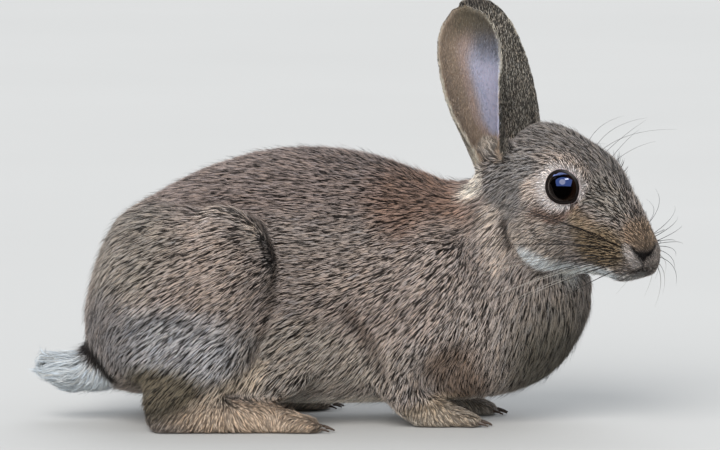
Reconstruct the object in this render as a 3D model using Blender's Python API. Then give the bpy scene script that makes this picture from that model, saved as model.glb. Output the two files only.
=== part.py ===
"""A wild European rabbit crouching on all fours, life size, as a still display model.

The animal faces -Y with +Z up and its own right side towards -X. Soft masses (trunk, neck, head,
haunches, legs, tail) are lofted from a few named stations, fused into one body with a voxel remesh,
smoothed and thinned, and then parted with narrow cuts into the pieces a person would name. The solids
reach out to the tips of the coat. All sizes are metres.
"""

import math

import bmesh
import bpy
from mathutils import Matrix, Vector

MM = 0.001

# ---- driving dimensions -------------------------------------------------------------------------
STANCE_HIND = 38 * MM
STANCE_FORE = 20 * MM
HEAD_ORIGIN = Vector((-2, -72.7, 107.5)) * MM
HEAD_YAW = math.radians(38)
HEAD_PITCH = math.radians(20)
HEAD_ROLL = math.radians(4)
# Each side's name, which way it lies, and how far its hind foot and forepaw are set along Y, in mm.
SIDES = (("right", -1, 0, 0), ("left", 1, -4, -8))
EYE_RADIUS = 8.2 * MM
EYE_PLACE = Vector((14.8, 38.5, 17.8)) * MM
EAR_THICKNESS = 2.1 * MM
# Points up the middle of each ear from its root, in millimetres, and the way its hollow faces.
EARS = {
    "ear_right": {
        "spine": (
            (-15, -67, 112), (-19, -61, 129), (-23, -56.5, 145),
            (-26, -54.5, 160), (-27, -53, 175), (-27, -49, 188.5),
        ),
        "opening": (-1, 0.15, 0.1),
    },
    "ear_left": {
        "spine": (
            (6, -80, 112), (8, -78, 129), (11, -73.5, 145),
            (14, -67, 160), (15, -60, 175), (15, -53, 189.5),
        ),
        "opening": (1, 0.15, 0.1),
    },
}
CLAW_LENGTH = 6.5 * MM
CUT = 0.3 * MM

# ---- mesh fineness ------------------------------------------------------------------------------
RING_POINTS = 32
VOXEL = 1.3 * MM
BODY_TRIANGLES = 3060
EAR_ROWS, EAR_COLUMNS = 13, 8
PRISM_SAMPLES = 2

# ---- materials: name, colour, roughness ---------------------------------------------------------
FINISHES = {
    "coat": ((0.20, 0.155, 0.115), 0.85),
    "tail_white": ((0.75, 0.76, 0.78), 0.85),
    "eye": ((0.012, 0.008, 0.006), 0.08),
    "claw": ((0.10, 0.075, 0.055), 0.45),
}


def clear_scene():
    for obj in list(bpy.data.objects):
        bpy.data.objects.remove(obj, do_unlink=True)


def finish(name):
    """The material of that name, made the first time it is asked for."""
    material = bpy.data.materials.get(name)
    if material:
        return material
    colour, roughness = FINISHES[name]
    material = bpy.data.materials.new(name)
    material.use_nodes = True
    shader = material.node_tree.nodes["Principled BSDF"]
    shader.inputs["Base Color"].default_value = (*colour, 1)
    shader.inputs["Roughness"].default_value = roughness
    return material


def new_object(name, mesh, material="coat"):
    obj = bpy.data.objects.new(name, mesh)
    bpy.context.scene.collection.objects.link(obj)
    mesh.materials.clear()
    mesh.materials.append(finish(material))
    return obj


def evaluated_mesh(obj):
    graph = bpy.context.evaluated_depsgraph_get()
    graph.update()
    return bpy.data.meshes.new_from_object(obj.evaluated_get(graph))


def bake_modifiers(obj):
    """Replaces the object's mesh with what its modifiers make of it."""
    bpy.context.view_layer.update()
    mesh = evaluated_mesh(obj)
    obj.modifiers.clear()
    obj.data = mesh


def catmull_rom(keys, at):
    """The row of numbers at `at` on a smooth curve through rows whose first number is the parameter."""
    last = len(keys) - 1
    k = 0
    while k < last - 1 and at > keys[k + 1][0]:
        k += 1
    before, start = keys[max(k - 1, 0)], keys[k]
    end, after = keys[k + 1], keys[min(k + 2, last)]
    span = end[0] - start[0]
    t = min(max((at - start[0]) / span, 0.0), 1.0)
    row = []
    for i in range(1, len(start)):
        slope_in = (end[i] - before[i]) / max(end[0] - before[0], 1e-9) * span
        slope_out = (after[i] - start[i]) / max(after[0] - start[0], 1e-9) * span
        row.append(
            (2 * t**3 - 3 * t**2 + 1) * start[i]
            + (t**3 - 2 * t**2 + t) * slope_in
            + (3 * t**2 - 2 * t**3) * end[i]
            + (t**3 - t**2) * slope_out
        )
    return row


def oval(centre, across, upward, half_width, rise, drop, narrow):
    """One cross-section: an oval with its own height above and depth below the centre.

    narrow is how far its upper half pinches in, as a share of the width.
    """
    ring = []
    for i in range(RING_POINTS):
        angle = 2 * math.pi * i / RING_POINTS
        high = math.sin(angle)
        tall = rise if high > 0 else drop
        wide = half_width * (1 - narrow * max(high, 0.0))
        ring.append(centre + across * (wide * math.cos(angle)) + upward * (tall * high))
    return ring


def skinned(rings):
    """A closed bmesh through rings of equal length, with a fan over each end."""
    mesh = bmesh.new()
    rows = [[mesh.verts.new(p) for p in ring] for ring in rings]
    count = len(rows[0])
    for low, high in zip(rows, rows[1:]):
        for i in range(count):
            j = (i + 1) % count
            mesh.faces.new((low[i], low[j], high[j], high[i]))
    for row in (rows[0], rows[-1]):
        middle = mesh.verts.new(sum((v.co for v in row), Vector()) / count)
        for i in range(count):
            mesh.faces.new((row[i], row[(i + 1) % count], middle))
    bmesh.ops.recalc_face_normals(mesh, faces=mesh.faces)
    return mesh


def lofted(keys, place, steps=28):
    """A mass through key stations. place(row) turns a station's numbers into a ring of points."""
    first, last = keys[0][0], keys[-1][0]
    rings = []
    for i in range(steps + 1):
        # Close rings near both ends, where the shape turns fastest.
        at = first + (last - first) * (1 - math.cos(math.pi * i / steps)) / 2
        rings.append(place(at, catmull_rom(keys, at)))
    return skinned(rings)


def ellipsoid(centre, radii, turn=None):
    mesh = bmesh.new()
    bmesh.ops.create_icosphere(mesh, subdivisions=4, radius=1)
    shape = Matrix.Diagonal((*radii, 1))
    turned = turn.to_4x4() if turn else Matrix.Identity(4)
    mesh.transform(Matrix.Translation(centre) @ turned @ shape)
    return mesh


def limb(points, radii, flatten=1.0, steps=22):
    """A round-ended limb along a smooth curve through points, each with its own radius.

    flatten scales it sideways, along X.
    """
    keys = [(i, *point, radius) for i, (point, radius) in enumerate(zip(points, radii))]
    last = len(keys) - 1
    path = [catmull_rom(keys, last * i / steps) for i in range(steps + 1)]
    rings = []
    for i, (x, y, z, radius) in enumerate(path):
        ahead = Vector(path[min(i + 1, steps)][:3])
        behind = Vector(path[max(i - 1, 0)][:3])
        along = (ahead - behind).normalized()
        across = Vector((1, 0, 0))
        across = (across - along * across.dot(along)).normalized()
        upward = across.cross(along)
        rings.append(oval(Vector((x, y, z)), across, upward, radius * flatten, radius, radius, 0))
    mesh = skinned(rings)
    for x, y, z, radius in (path[0], path[-1]):
        cap = ellipsoid(Vector((x, y, z)), (radius * flatten, radius, radius))
        append(mesh, cap)
    return mesh


def append(mesh, other):
    """Adds the faces of another bmesh, which is used up."""
    scratch = bpy.data.meshes.new("scratch")
    other.to_mesh(scratch)
    other.free()
    mesh.from_mesh(scratch)
    bpy.data.meshes.remove(scratch)


# ---- the head's own frame -----------------------------------------------------------------------
def head_matrix():
    """Takes head space (x left, -y to the nose, z to the crown, 0 at the back of the skull) to the world."""
    turn = Matrix.Rotation(-HEAD_YAW, 4, "Z")
    turn = turn @ Matrix.Rotation(HEAD_PITCH, 4, "X") @ Matrix.Rotation(-HEAD_ROLL, 4, "Y")
    return Matrix.Translation(HEAD_ORIGIN) @ turn


def head_ellipsoid(side, along, above, radii, tilt=0.0):
    """An ellipsoid in head space, in millimetres. radii run sideways, along the face and above it."""
    turn = Matrix.Rotation(math.radians(tilt), 3, "X")
    return ellipsoid(Vector((side, -along, above)) * MM, [v * MM for v in radii], turn)


# ---- masses -------------------------------------------------------------------------------------
def trunk_mass():
    # Distance forward of the middle, height of the section's middle, half width, rise, drop, pinch.
    stations = (
        (-119.5, 47, 5, 5, 5, 0.0),
        (-115, 49, 25, 21, 23, 0.0),
        (-106, 53, 39, 37.5, 38, 0.05),
        (-90, 56, 47, 45.5, 44, 0.12),
        (-65, 59, 49.5, 56, 49, 0.18),
        (-30, 61, 46, 63.5, 53, 0.22),
        (8, 60, 42, 62.5, 52, 0.25),
        (40, 57, 39, 54, 48, 0.25),
        (66, 55, 36.5, 46, 44, 0.2),
        (86, 54.5, 31.5, 35, 37, 0.1),
        (98, 55, 25, 24, 27, 0.0),
        (106, 56, 16, 14, 15, 0.0),
        (110.5, 57, 5, 5, 5, 0.0),
    )

    def place(at, row):
        height, half_width, rise, drop, pinch = row
        return oval(
            Vector((0, -at, height)) * MM, Vector((1, 0, 0)), Vector((0, 0, 1)),
            half_width * MM, rise * MM, drop * MM, pinch,
        )

    return lofted(stations, place, steps=44)


def neck_mass():
    points = [Vector(p) * MM for p in ((0, -34, 62), (-1, -56, 76), (-5, -72, 90), (-9, -82, 103))]
    return limb(points, [v * MM for v in (34, 33.5, 29, 22)], flatten=0.84)


def head_mass():
    # Distance along the face, then height of the middle, half width, rise, drop and pinch, in mm.
    stations = (
        (-6, 6, 6, 6, 6, 0.1),
        (0, 7, 15.5, 21, 19, 0.15),
        (10, 8, 20, 27.5, 30, 0.25),
        (22, 8, 22, 29, 34.5, 0.3),
        (34, 7, 22, 29.5, 34, 0.3),
        (46, 5, 20.8, 29, 29, 0.25),
        (56, 2.5, 18.6, 26, 22.5, 0.2),
        (66, -0.5, 16, 21, 16.4, 0.15),
        (75, -3, 13.2, 15, 9.8, 0.1),
        (81, -4, 10.4, 9.5, 7.2, 0.0),
        (84, -4, 5.5, 4.4, 3.6, 0.0),
    )

    def place(at, row):
        middle, half_width, rise, drop, pinch = row
        return oval(
            Vector((0, -at, middle)) * MM, Vector((1, 0, 0)), Vector((0, 0, 1)),
            half_width * MM, rise * MM, drop * MM, pinch,
        )

    mesh = lofted(stations, place, steps=40)
    for side in (-1, 1):
        append(mesh, head_ellipsoid(side * 13.8, 31, -9, (12, 19, 17)))          # cheek
        append(mesh, head_ellipsoid(side * 11, 36, 21, (8.4, 15, 9.4), 8))        # brow
        append(mesh, head_ellipsoid(side * 7.2, 70.5, -6.5, (8.2, 11.5, 8), 10))  # whisker pad
    append(mesh, head_ellipsoid(0, 77, 0, (8.4, 7.2, 6.8), 20))                   # nose
    append(mesh, head_ellipsoid(0, 67, -11, (8, 10, 5)))                        # chin
    mesh.transform(head_matrix())
    return mesh


def haunch_mass(side):
    """Thigh, knee and shank of one folded hind leg. side is -1 on the animal's right."""
    lean = Matrix.Rotation(math.radians(-14), 3, "X")
    mesh = ellipsoid(Vector((side * 31, 74, 57)) * MM, [v * MM for v in (22, 39, 46)], lean)
    append(mesh, ellipsoid(Vector((side * 37, 54, 73)) * MM, [v * MM for v in (18, 22, 29)], lean))
    shank = [Vector((side * x, y, z)) * MM for x, y, z in ((34, 60, 58), (38, 66, 36), (39, 79, 17))]
    append(mesh, limb(shank, [v * MM for v in (25, 24, 13)], flatten=0.68))
    # The fold of skin and long hair that hangs from the flank to the foot, in front of the knee.
    append(mesh, ellipsoid(Vector((side * 32, 40, 23)) * MM, [v * MM for v in (10, 24, 10.5)]))
    return mesh


def hind_toe(side, toe, slide):
    """Points along one hind toe, from its knuckle to its tip, in millimetres. Toe 0 is the inner one."""
    out = STANCE_HIND / MM
    spread = (toe - 1.5) * 3.7
    reach = 10 - abs(toe - 1.7) * 2.4
    return [
        Vector((side * (out + spread * 0.7), 31 + slide, 4.2)),
        Vector((side * (out + spread), 24 + slide - reach * 0.5, 4.0)),
        Vector((side * (out + spread * 1.1), 22 + slide - reach, 2.6)),
    ]


def fore_toe(side, toe, slide):
    """Points along one front toe. Toe 0 is the inner one, and toe 4 is the dewclaw's."""
    out = STANCE_FORE / MM
    if toe == 4:
        inner = side * (out - 6)
        return [Vector((inner + side, -35 + slide, 5.5)), Vector((inner, -38 + slide, 5)),
                Vector((inner - side * 0.5, -41 + slide, 4))]
    spread = (toe - 1.5) * 3.1
    reach = 7.5 - abs(toe - 1.6) * 1.8
    return [
        Vector((side * (out + spread * 0.7), -46 + slide, 4.0)),
        Vector((side * (out + spread), -51 - reach * 0.4 + slide, 3.6)),
        Vector((side * (out + spread * 1.1), -51 - reach + slide, 2.4)),
    ]


def hind_foot_mass(side, slide):
    """The long hind foot, flat on the floor, with its four toes. slide moves it along Y."""
    out = STANCE_HIND / MM
    sole = [
        Vector((side * x, y + slide, z)) * MM
        for x, y, z in ((out, 82, 7.2), (out, 66, 6.8), (out, 44, 5.9), (out, 27, 4.4))
    ]
    mesh = limb(sole, [v * MM for v in (9, 8.6, 7.7, 6.2)], flatten=1.12)
    for toe in range(4):
        points = [p * MM for p in hind_toe(side, toe, slide)]
        append(mesh, limb(points, [v * MM for v in (4.2, 3.9, 3.0)], steps=8))
    return mesh


def fore_leg_mass(side, slide):
    """Shoulder, upper arm and forearm of one foreleg."""
    lean = Matrix.Rotation(math.radians(18), 3, "X")
    mesh = ellipsoid(Vector((side * 24, -34, 56)) * MM, [v * MM for v in (16.5, 25, 36)], lean)
    arm = [
        Vector((side * x, y + s * slide, z)) * MM
        for x, y, z, s in ((27, -40, 46, 0), (27, -19, 32, 0.3), (24, -25, 16, 0.8), (20, -35, 7, 1))
    ]
    append(mesh, limb(arm, [v * MM for v in (17, 13, 9.5, 6.5)], flatten=0.85))
    return mesh


def forepaw_mass(side, slide):
    out = STANCE_FORE / MM
    palm = [
        Vector((side * x, y + slide, z)) * MM
        for x, y, z in ((out, -33, 6.5), (out, -41, 5.0), (out - 0.5, -49, 3.8))
    ]
    mesh = limb(palm, [v * MM for v in (7.6, 7, 5.4)], flatten=1.05)
    for toe in range(5):
        points = [p * MM for p in fore_toe(side, toe, slide)]
        append(mesh, limb(points, [v * MM for v in (3.4, 3.3, 2.6)], steps=8))
    return mesh


def ear_root_mass(spine):
    """The round base that an ear grows from."""
    start, end = Vector(spine[0]) * MM, Vector(spine[1]) * MM
    points = [start - Vector((0, 0, 4)) * MM, start.lerp(end, 0.3), start.lerp(end, 0.62)]
    return limb(points, [v * MM for v in (13, 10.5, 6.6)], steps=12)


def tail_mass():
    dock = [Vector(p) * MM for p in ((0, 102, 29), (0, 114, 24), (-1, 126, 23), (-1.5, 134, 25))]
    return limb(dock, [v * MM for v in (10, 11.5, 10, 6.5)], flatten=1.15)


def soften(body, iterations, where):
    """Relaxes the surface where the test holds, so that one mass runs into the next."""
    group = body.vertex_groups.new(name="soft")
    group.add([v.index for v in body.data.vertices if where(v.co)], 1.0, "REPLACE")
    smooth = body.modifiers.new("soften", "SMOOTH")
    smooth.factor = 0.5
    smooth.iterations = iterations
    smooth.vertex_group = group.name
    bake_modifiers(body)
    body.vertex_groups.clear()


def fused(masses, triangles):
    """One smooth closed body from overlapping masses."""
    whole = bmesh.new()
    for mass in masses:
        append(whole, mass)
    mesh = bpy.data.meshes.new("body")
    whole.to_mesh(mesh)
    whole.free()
    body = new_object("body", mesh)
    remesh = body.modifiers.new("fuse", "REMESH")
    remesh.mode = "VOXEL"
    remesh.voxel_size = VOXEL
    bake_modifiers(body)
    soften(body, 8, lambda point: True)
    into_head = head_matrix().inverted()
    soften(body, 12, lambda point: point.z > 20 * MM)
    soften(body, 32, lambda point: point.z > 20 * MM and (into_head @ point).y > -4 * MM)
    thin = body.modifiers.new("thin", "DECIMATE")
    thin.ratio = triangles / (len(body.data.polygons) * 2)
    thin.use_collapse_triangulate = True
    bake_modifiers(body)
    return body


# ---- cutting ------------------------------------------------------------------------------------
def boolean(obj, other, operation):
    step = obj.modifiers.new(operation.lower(), "BOOLEAN")
    step.operation = operation
    step.solver = "EXACT"
    step.object = other
    bake_modifiers(obj)


def box(low, high):
    mesh = bmesh.new()
    bmesh.ops.create_cube(mesh, size=1)
    size = Vector(high) - Vector(low)
    middle = (Vector(high) + Vector(low)) / 2
    mesh.transform(Matrix.Translation(middle) @ Matrix.Diagonal((*size, 1)))
    return mesh


def half_space(point, outward, grow):
    """A big block whose flat face passes through point and which lies on the side outward points to."""
    size = 0.4
    mesh = box((-size, -size, 0), (size, size, size))
    turn = Vector(outward).normalized().to_track_quat("Z", "X").to_matrix().to_4x4()
    start = Vector(point) - Vector(outward).normalized() * grow
    mesh.transform(Matrix.Translation(start) @ turn)
    return mesh


def prism(outline, inner, outer, grow):
    """A block along X over a smooth closed outline of (y, z) points, from inner to outer."""
    count = len(outline)
    wrapped = [(i, *outline[i % count]) for i in range(-1, count + 2)]
    curve = [catmull_rom(wrapped, i / PRISM_SAMPLES) for i in range(PRISM_SAMPLES * count)]
    curve = [Vector(p) for p in curve]
    grown = []
    for i, point in enumerate(curve):
        along = curve[(i + 1) % len(curve)] - curve[i - 1]
        out = Vector((along.y, -along.x)).normalized()
        grown.append(point + out * grow)
    turning = sum(a.x * b.y - a.y * b.x for a, b in zip(curve, curve[1:] + curve[:1]))
    if turning < 0:
        grown = [p * 2 - g for p, g in zip(curve, grown)]
    start = inner - math.copysign(grow, outer - inner)
    mesh = bmesh.new()
    ends = []
    for x in (start, outer):
        ends.append([mesh.verts.new((x, p.x, p.y)) for p in grown])
    mesh.faces.new(ends[0])
    mesh.faces.new(ends[1])
    for i in range(len(grown)):
        j = (i + 1) % len(grown)
        mesh.faces.new((ends[0][i], ends[0][j], ends[1][j], ends[1][i]))
    bmesh.ops.recalc_face_normals(mesh, faces=mesh.faces)
    return mesh


def scratch_object(mesh):
    data = bpy.data.meshes.new("cutter")
    mesh.to_mesh(data)
    mesh.free()
    return new_object("cutter", data)


def with_cutter(obj, mesh, operation):
    cutter = scratch_object(mesh)
    boolean(obj, cutter, operation)
    bpy.data.objects.remove(cutter)


def part_off(body, name, region, material="coat"):
    """Takes the piece of the body inside region, leaving a narrow gap. region(grow) gives the block."""
    piece = new_object(name, body.data.copy(), material)
    with_cutter(piece, region(0.0), "INTERSECT")
    with_cutter(body, region(CUT), "DIFFERENCE")
    piece.data.materials.clear()
    piece.data.materials.append(finish(material))
    return piece


def ear(name, spine, opening):
    """A cupped ear along a curve of points, hollow on the side that opening points to."""
    # How far up the spine, half width, depth of the cup, and half the angle that the rim wraps.
    sections = (
        (0.0, 7.6, 13.0, 155),
        (0.16, 8.2, 13.0, 145),
        (0.3, 9.4, 12.0, 118),
        (0.45, 11.6, 10.5, 92),
        (0.6, 13.4, 8.5, 80),
        (0.75, 13.9, 6.8, 72),
        (0.88, 11.6, 4.4, 65),
        (0.96, 7.2, 2.2, 60),
        (1.0, 2.6, 0.7, 60),
    )
    rows, columns = EAR_ROWS, EAR_COLUMNS
    last = len(spine) - 1
    keys = [(i, *point) for i, point in enumerate(spine)]
    mesh = bmesh.new()
    grid = []
    for r in range(rows + 1):
        up_spine = r / rows
        half_width, depth, wrap = catmull_rom(sections, up_spine)
        here = Vector(catmull_rom(keys, last * up_spine))
        ahead = Vector(catmull_rom(keys, last * min(up_spine + 0.02, 1)))
        behind = Vector(catmull_rom(keys, last * max(up_spine - 0.02, 0)))
        along = (ahead - behind).normalized()
        face = Vector(opening)
        face = (face - along * face.dot(along)).normalized()
        across = along.cross(face)
        line = []
        for c in range(columns + 1):
            angle = math.radians(wrap) * (2 * c / columns - 1)
            reach = math.sin(angle) / math.sin(math.radians(min(wrap, 90)))
            edge = math.cos(math.radians(wrap))
            sink = (math.cos(angle) - edge) / (1 - edge)
            point = here + across * half_width * reach - face * depth * (sink - 0.5)
            line.append(mesh.verts.new(point * MM))
        grid.append(line)
    for low, high in zip(grid, grid[1:]):
        for c in range(columns):
            mesh.faces.new((low[c], low[c + 1], high[c + 1], high[c]))
    data = bpy.data.meshes.new(name)
    mesh.to_mesh(data)
    mesh.free()
    shell = new_object(name, data)
    thicken = shell.modifiers.new("thickness", "SOLIDIFY")
    thicken.thickness = EAR_THICKNESS
    thicken.offset = 0
    bake_modifiers(shell)
    return shell


def grown(obj, distance):
    """A bmesh of the object swollen by distance."""
    swell = obj.modifiers.new("swell", "DISPLACE")
    swell.mid_level = 0
    swell.strength = distance
    bpy.context.view_layer.update()
    scratch = evaluated_mesh(obj)
    obj.modifiers.remove(swell)
    mesh = bmesh.new()
    mesh.from_mesh(scratch)
    bpy.data.meshes.remove(scratch)
    return mesh


def claw(name, root, forward, body):
    """A small curved horn cone that dips towards the floor, cut off clear of the body it grows from."""
    steps, sides = 3, 6
    down = Vector((0, 0, -1))
    forward = Vector((forward.x, forward.y, 0)).normalized()
    rings = []
    for i in range(steps + 1):
        t = i / steps
        middle = root + forward * CLAW_LENGTH * t + down * CLAW_LENGTH * 0.25 * t * t
        along = (forward + down * 0.5 * t).normalized()
        across = along.cross(down).normalized()
        upward = across.cross(along)
        radius = CLAW_LENGTH * (0.16 - 0.11 * t)
        rings.append([
            middle + (across * math.cos(turn) * 0.75 + upward * math.sin(turn)) * radius
            for turn in (2 * math.pi * k / sides for k in range(sides))
        ])
    mesh = skinned(rings)
    data = bpy.data.meshes.new(name)
    mesh.to_mesh(data)
    mesh.free()
    with_cutter(new_object(name, data, "claw"), body.copy(), "DIFFERENCE")


def claws(body):
    for label, side, slide_hind, slide_fore in SIDES:
        toes = [(f"claw_hind_{label}_{i + 1}", hind_toe(side, i, slide_hind)) for i in range(4)]
        toes += [(f"claw_fore_{label}_{i + 1}", fore_toe(side, i, slide_fore)) for i in range(5)]
        for name, (_, before, tip) in toes:
            claw(name, tip * MM, tip - before, body)


def in_metres(outline):
    return [(y * MM, z * MM) for y, z in outline]


def side_prism(side, outline, inner):
    """region(grow) for a piece of one side: a block outwards from x = inner over a (y, z) outline."""
    return lambda grow: prism(in_metres(outline), side * inner * MM, side * 0.2, grow)


def beyond(point, outward):
    """region(grow) for all that lies past a plane."""
    return lambda grow: half_space(Vector(point) * MM, outward, grow)


def parted(body):
    """Parts the one body into head, neck, tail and legs. What is left is the trunk."""
    profile = (
        (-49, 130), (-55, 114), (-66, 96), (-73, 80), (-82, 67), (-96, 59), (-112, 59.5),
        (-130, 54), (-165, 60), (-170, 130), (-150, 210), (-80, 220), (-44, 190),
    )
    head = part_off(body, "head", lambda grow: prism(in_metres(profile), -0.2, 0.2, grow))
    part_off(body, "neck", beyond((0, -66, 76.5), (-0.1, -0.77, 0.63)))
    tail_middle, tail_reach = Vector((0, 141, 19)) * MM, Vector((24, 27, 21)) * MM
    part_off(
        body, "tail",
        lambda grow: ellipsoid(tail_middle, [v + grow for v in tail_reach]),
        "tail_white",
    )
    for label, side, slide_hind, slide_fore in SIDES:
        foot = (
            (97, -6), (97, 9), (88, 14.5), (66, 14.5), (44, 14.6), (30, 13),
            (8, 11), (4, 0), (8, -6), (50, -8),
        )
        moved = [(y + slide_hind, z) for y, z in foot]
        part_off(body, "hindfoot_" + label, side_prism(side, moved, 24))
        thigh = (
            (50, 106), (35, 95), (27, 74), (30, 50), (38, 26), (52, 5),
            (84, 3), (102, 20), (112, 48), (106, 76), (84, 96), (66, 105),
        )
        part_off(body, "hindleg_" + label, side_prism(side, thigh, 25))
        paw = ((-24, -5), (-22, 6), (-28, 13), (-42, 13), (-60, 10), (-68, 2), (-62, -6), (-44, -8))
        moved = [(y + slide_fore, z) for y, z in paw]
        part_off(body, "forepaw_" + label, side_prism(side, moved, 10))
        arm = (
            (-10, 14), (-4, 34), (-8, 60), (-22, 84), (-44, 84), (-60, 62),
            (-62, 36), (-56, 14), (-32, 1),
        )
        part_off(body, "foreleg_" + label, side_prism(side, arm, 10.5))
    body.name = "trunk"
    return head


def eyes(head):
    """Both eyeballs, each in a socket cut from the head."""
    for side, name in ((-1, "eye_right"), (1, "eye_left")):
        place = head_matrix() @ Vector((side * EYE_PLACE.x, -EYE_PLACE.y, EYE_PLACE.z))
        for radius, label in ((EYE_RADIUS, name), (EYE_RADIUS + CUT, "socket")):
            ball = bmesh.new()
            bmesh.ops.create_icosphere(ball, subdivisions=3, radius=radius)
            ball.transform(Matrix.Translation(place))
            if label == "socket":
                with_cutter(head, ball, "DIFFERENCE")
                continue
            data = bpy.data.meshes.new(label)
            ball.to_mesh(data)
            ball.free()
            new_object(label, data, "eye")


def centre_on_floor():
    """Moves the whole animal so that the middle of its box stands over the origin."""
    pieces = [obj for obj in bpy.data.objects if obj.type == "MESH"]
    corners = [v.co for piece in pieces for v in piece.data.vertices]
    middle = Vector(
        (min(c[axis] for c in corners) + max(c[axis] for c in corners)) / 2 for axis in range(2)
    )
    for piece in pieces:
        piece.data.transform(Matrix.Translation((-middle.x, -middle.y, 0)))


def main():
    clear_scene()
    masses = [trunk_mass(), neck_mass(), head_mass(), tail_mass()]
    masses += [ear_root_mass(shape["spine"]) for shape in EARS.values()]
    for _, side, slide_hind, slide_fore in SIDES:
        masses.append(haunch_mass(side))
        masses.append(hind_foot_mass(side, slide_hind))
        masses.append(fore_leg_mass(side, slide_fore))
        masses.append(forepaw_mass(side, slide_fore))
    body = fused(masses, BODY_TRIANGLES)
    with_cutter(body, box((-0.3, -0.3, -0.04), (0.3, 0.3, 0)), "DIFFERENCE")
    swollen = grown(body, CUT)
    for name, shape in EARS.items():
        shell = ear(name, shape["spine"], shape["opening"])
        with_cutter(shell, swollen.copy(), "DIFFERENCE")
    claws(swollen)
    swollen.free()
    head = parted(body)
    eyes(head)
    centre_on_floor()


main()
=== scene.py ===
"""A life-size still model of a wild European rabbit, round the solid body of the frame.

The skin is fused from the flesh nodes and lies inside them by the depth of the coat. The coat is made of
flat tapered blades that lie along the body in small locks. Eyes, lids, claws and whiskers follow.
"""
import math

import bmesh
import bpy
import numpy as np
from bpy.props import FloatProperty, FloatVectorProperty, IntProperty, PointerProperty
from bpy.types import Operator, Panel, PropertyGroup
from mathutils import Matrix, Vector
from mathutils.bvhtree import BVHTree
from mathutils.kdtree import KDTree


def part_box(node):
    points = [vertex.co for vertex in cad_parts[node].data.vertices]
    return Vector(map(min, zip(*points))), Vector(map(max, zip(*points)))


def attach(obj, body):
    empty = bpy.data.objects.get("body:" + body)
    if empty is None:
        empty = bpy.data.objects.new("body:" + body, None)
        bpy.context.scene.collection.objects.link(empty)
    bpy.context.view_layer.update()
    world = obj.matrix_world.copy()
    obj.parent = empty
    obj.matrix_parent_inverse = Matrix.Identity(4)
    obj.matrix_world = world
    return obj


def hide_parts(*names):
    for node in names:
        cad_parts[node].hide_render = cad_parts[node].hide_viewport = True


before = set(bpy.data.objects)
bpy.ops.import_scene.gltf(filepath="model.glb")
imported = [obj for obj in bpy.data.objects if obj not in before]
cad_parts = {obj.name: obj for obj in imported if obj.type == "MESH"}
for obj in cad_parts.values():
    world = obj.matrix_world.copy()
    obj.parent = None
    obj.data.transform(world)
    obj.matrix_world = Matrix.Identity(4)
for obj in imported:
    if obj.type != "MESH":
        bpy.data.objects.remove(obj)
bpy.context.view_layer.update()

bl_info = {
    "name": "European Rabbit Still Model",
    "version": (1, 0, 0),
    "blender": (4, 5, 0),
    "location": "3D View > Sidebar > Rabbit",
    "description": "Skin, coat, eyes, claws and whiskers of a life-size rabbit round its solid body",
    "category": "Object",
}

MM = 0.001  # every array below is in millimetres; this takes it to Blender's metres
SEED = 11

# ---- the head's own space: x to its left, -y to the nose, z to the crown, in millimetres -----------
HEAD_TURN, HEAD_NOD, HEAD_TILT = math.radians(38), math.radians(20), math.radians(4)
EYE_IN_HEAD = np.array((14.8, -38.5, 17.8))
EYE_RADIUS = 8.2
EYE_AXIS = np.array((0.92, -0.24, 0.20))
NOSE_IN_HEAD = np.array((0.0, -84.0, -2.0))

# ---- whiskers: rings and sides of each, and how far from the middle of the body they reach, in mm ------
TUBE_STEPS, TUBE_SIDES = 10, 4
WHISKER_REACH = 64.0

# ---- lids: half angles of the opening, seen from the eye's middle, in degrees ----------------------
LID_HALF_WIDTH, LID_HALF_HEIGHT = 60.0, 53.0
LID_CORNER = 9.0  # how far the front corner is drawn out towards the nose
LID_DARK_ROWS = 3  # rings of a lid, from its wet edge, that are bare and dark
LID_SKIN = "#cfc8c4"  # the rest of the lid

# ---- coat: depth over the skin, length of a hair, width of a blade, in mm; blades for each mm2 -----
COAT = {
    "head": dict(depth=2.4, length=5.2, width=0.21, density=7.2),
    "neck": dict(depth=4.2, length=8.0, width=0.27, density=5.2),
    "trunk": dict(depth=4.0, length=7.0, width=0.27, density=4.9),
    "tail": dict(depth=5.0, length=10.0, width=0.28, density=5.5),
    "ear": dict(depth=0.45, length=2.0, width=0.22, density=6.0),
    "foreleg": dict(depth=3.0, length=6.0, width=0.27, density=4.9),
    "forepaw": dict(depth=1.5, length=3.6, width=0.28, density=5.0),
    "hindleg": dict(depth=3.8, length=7.0, width=0.27, density=4.9),
    "hindfoot": dict(depth=1.7, length=4.2, width=0.30, density=4.4),
    "eye": dict(depth=1.2, length=2.0, width=0.22, density=0.0),
}
# The same at the nose, as a share of the head's and how near and far the change begins and ends, in mm;
# and round the eyes.
AT_NOSE = {"depth": (0.35, 4, 40), "length": (0.30, 2, 55), "width": (0.60, 2, 40), "density": (1.5, 5, 40)}
AT_EYES = {"depth": 0.35, "length": 0.26, "width": 0.62, "density": 1.5}
# Where the hair is longer than that: place, radii and how many times as long.
LONGER = (
    ((0, -88, 50), (40, 26, 40), 1.45),  # chest
    ((0, 0, 6), (34, 100, 14), 1.3),  # belly
    ((36, 118, 60), (40, 22, 46), 1.15),  # rump
)
ROOT_SINK = 0.25  # how deep each blade is rooted in the skin, mm
FLOOR_GAP = 0.2  # how far the hair stays above the floor, mm
BLADE_LEAN = 0.72  # how far a blade leans to the middle of its lock
PATCH = 0.003  # side of a blade's patch on the unwrapped skin
LARGEST_PIECE = 200000  # triangles
EAR_ROOT = (20.0, -58.0, 128.0)
BREAST = (0.0, -100.0, 57.0)
JAW_FLOOR = -23.0  # below this, in the head's own frame, the hair lies as on the breast

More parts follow.
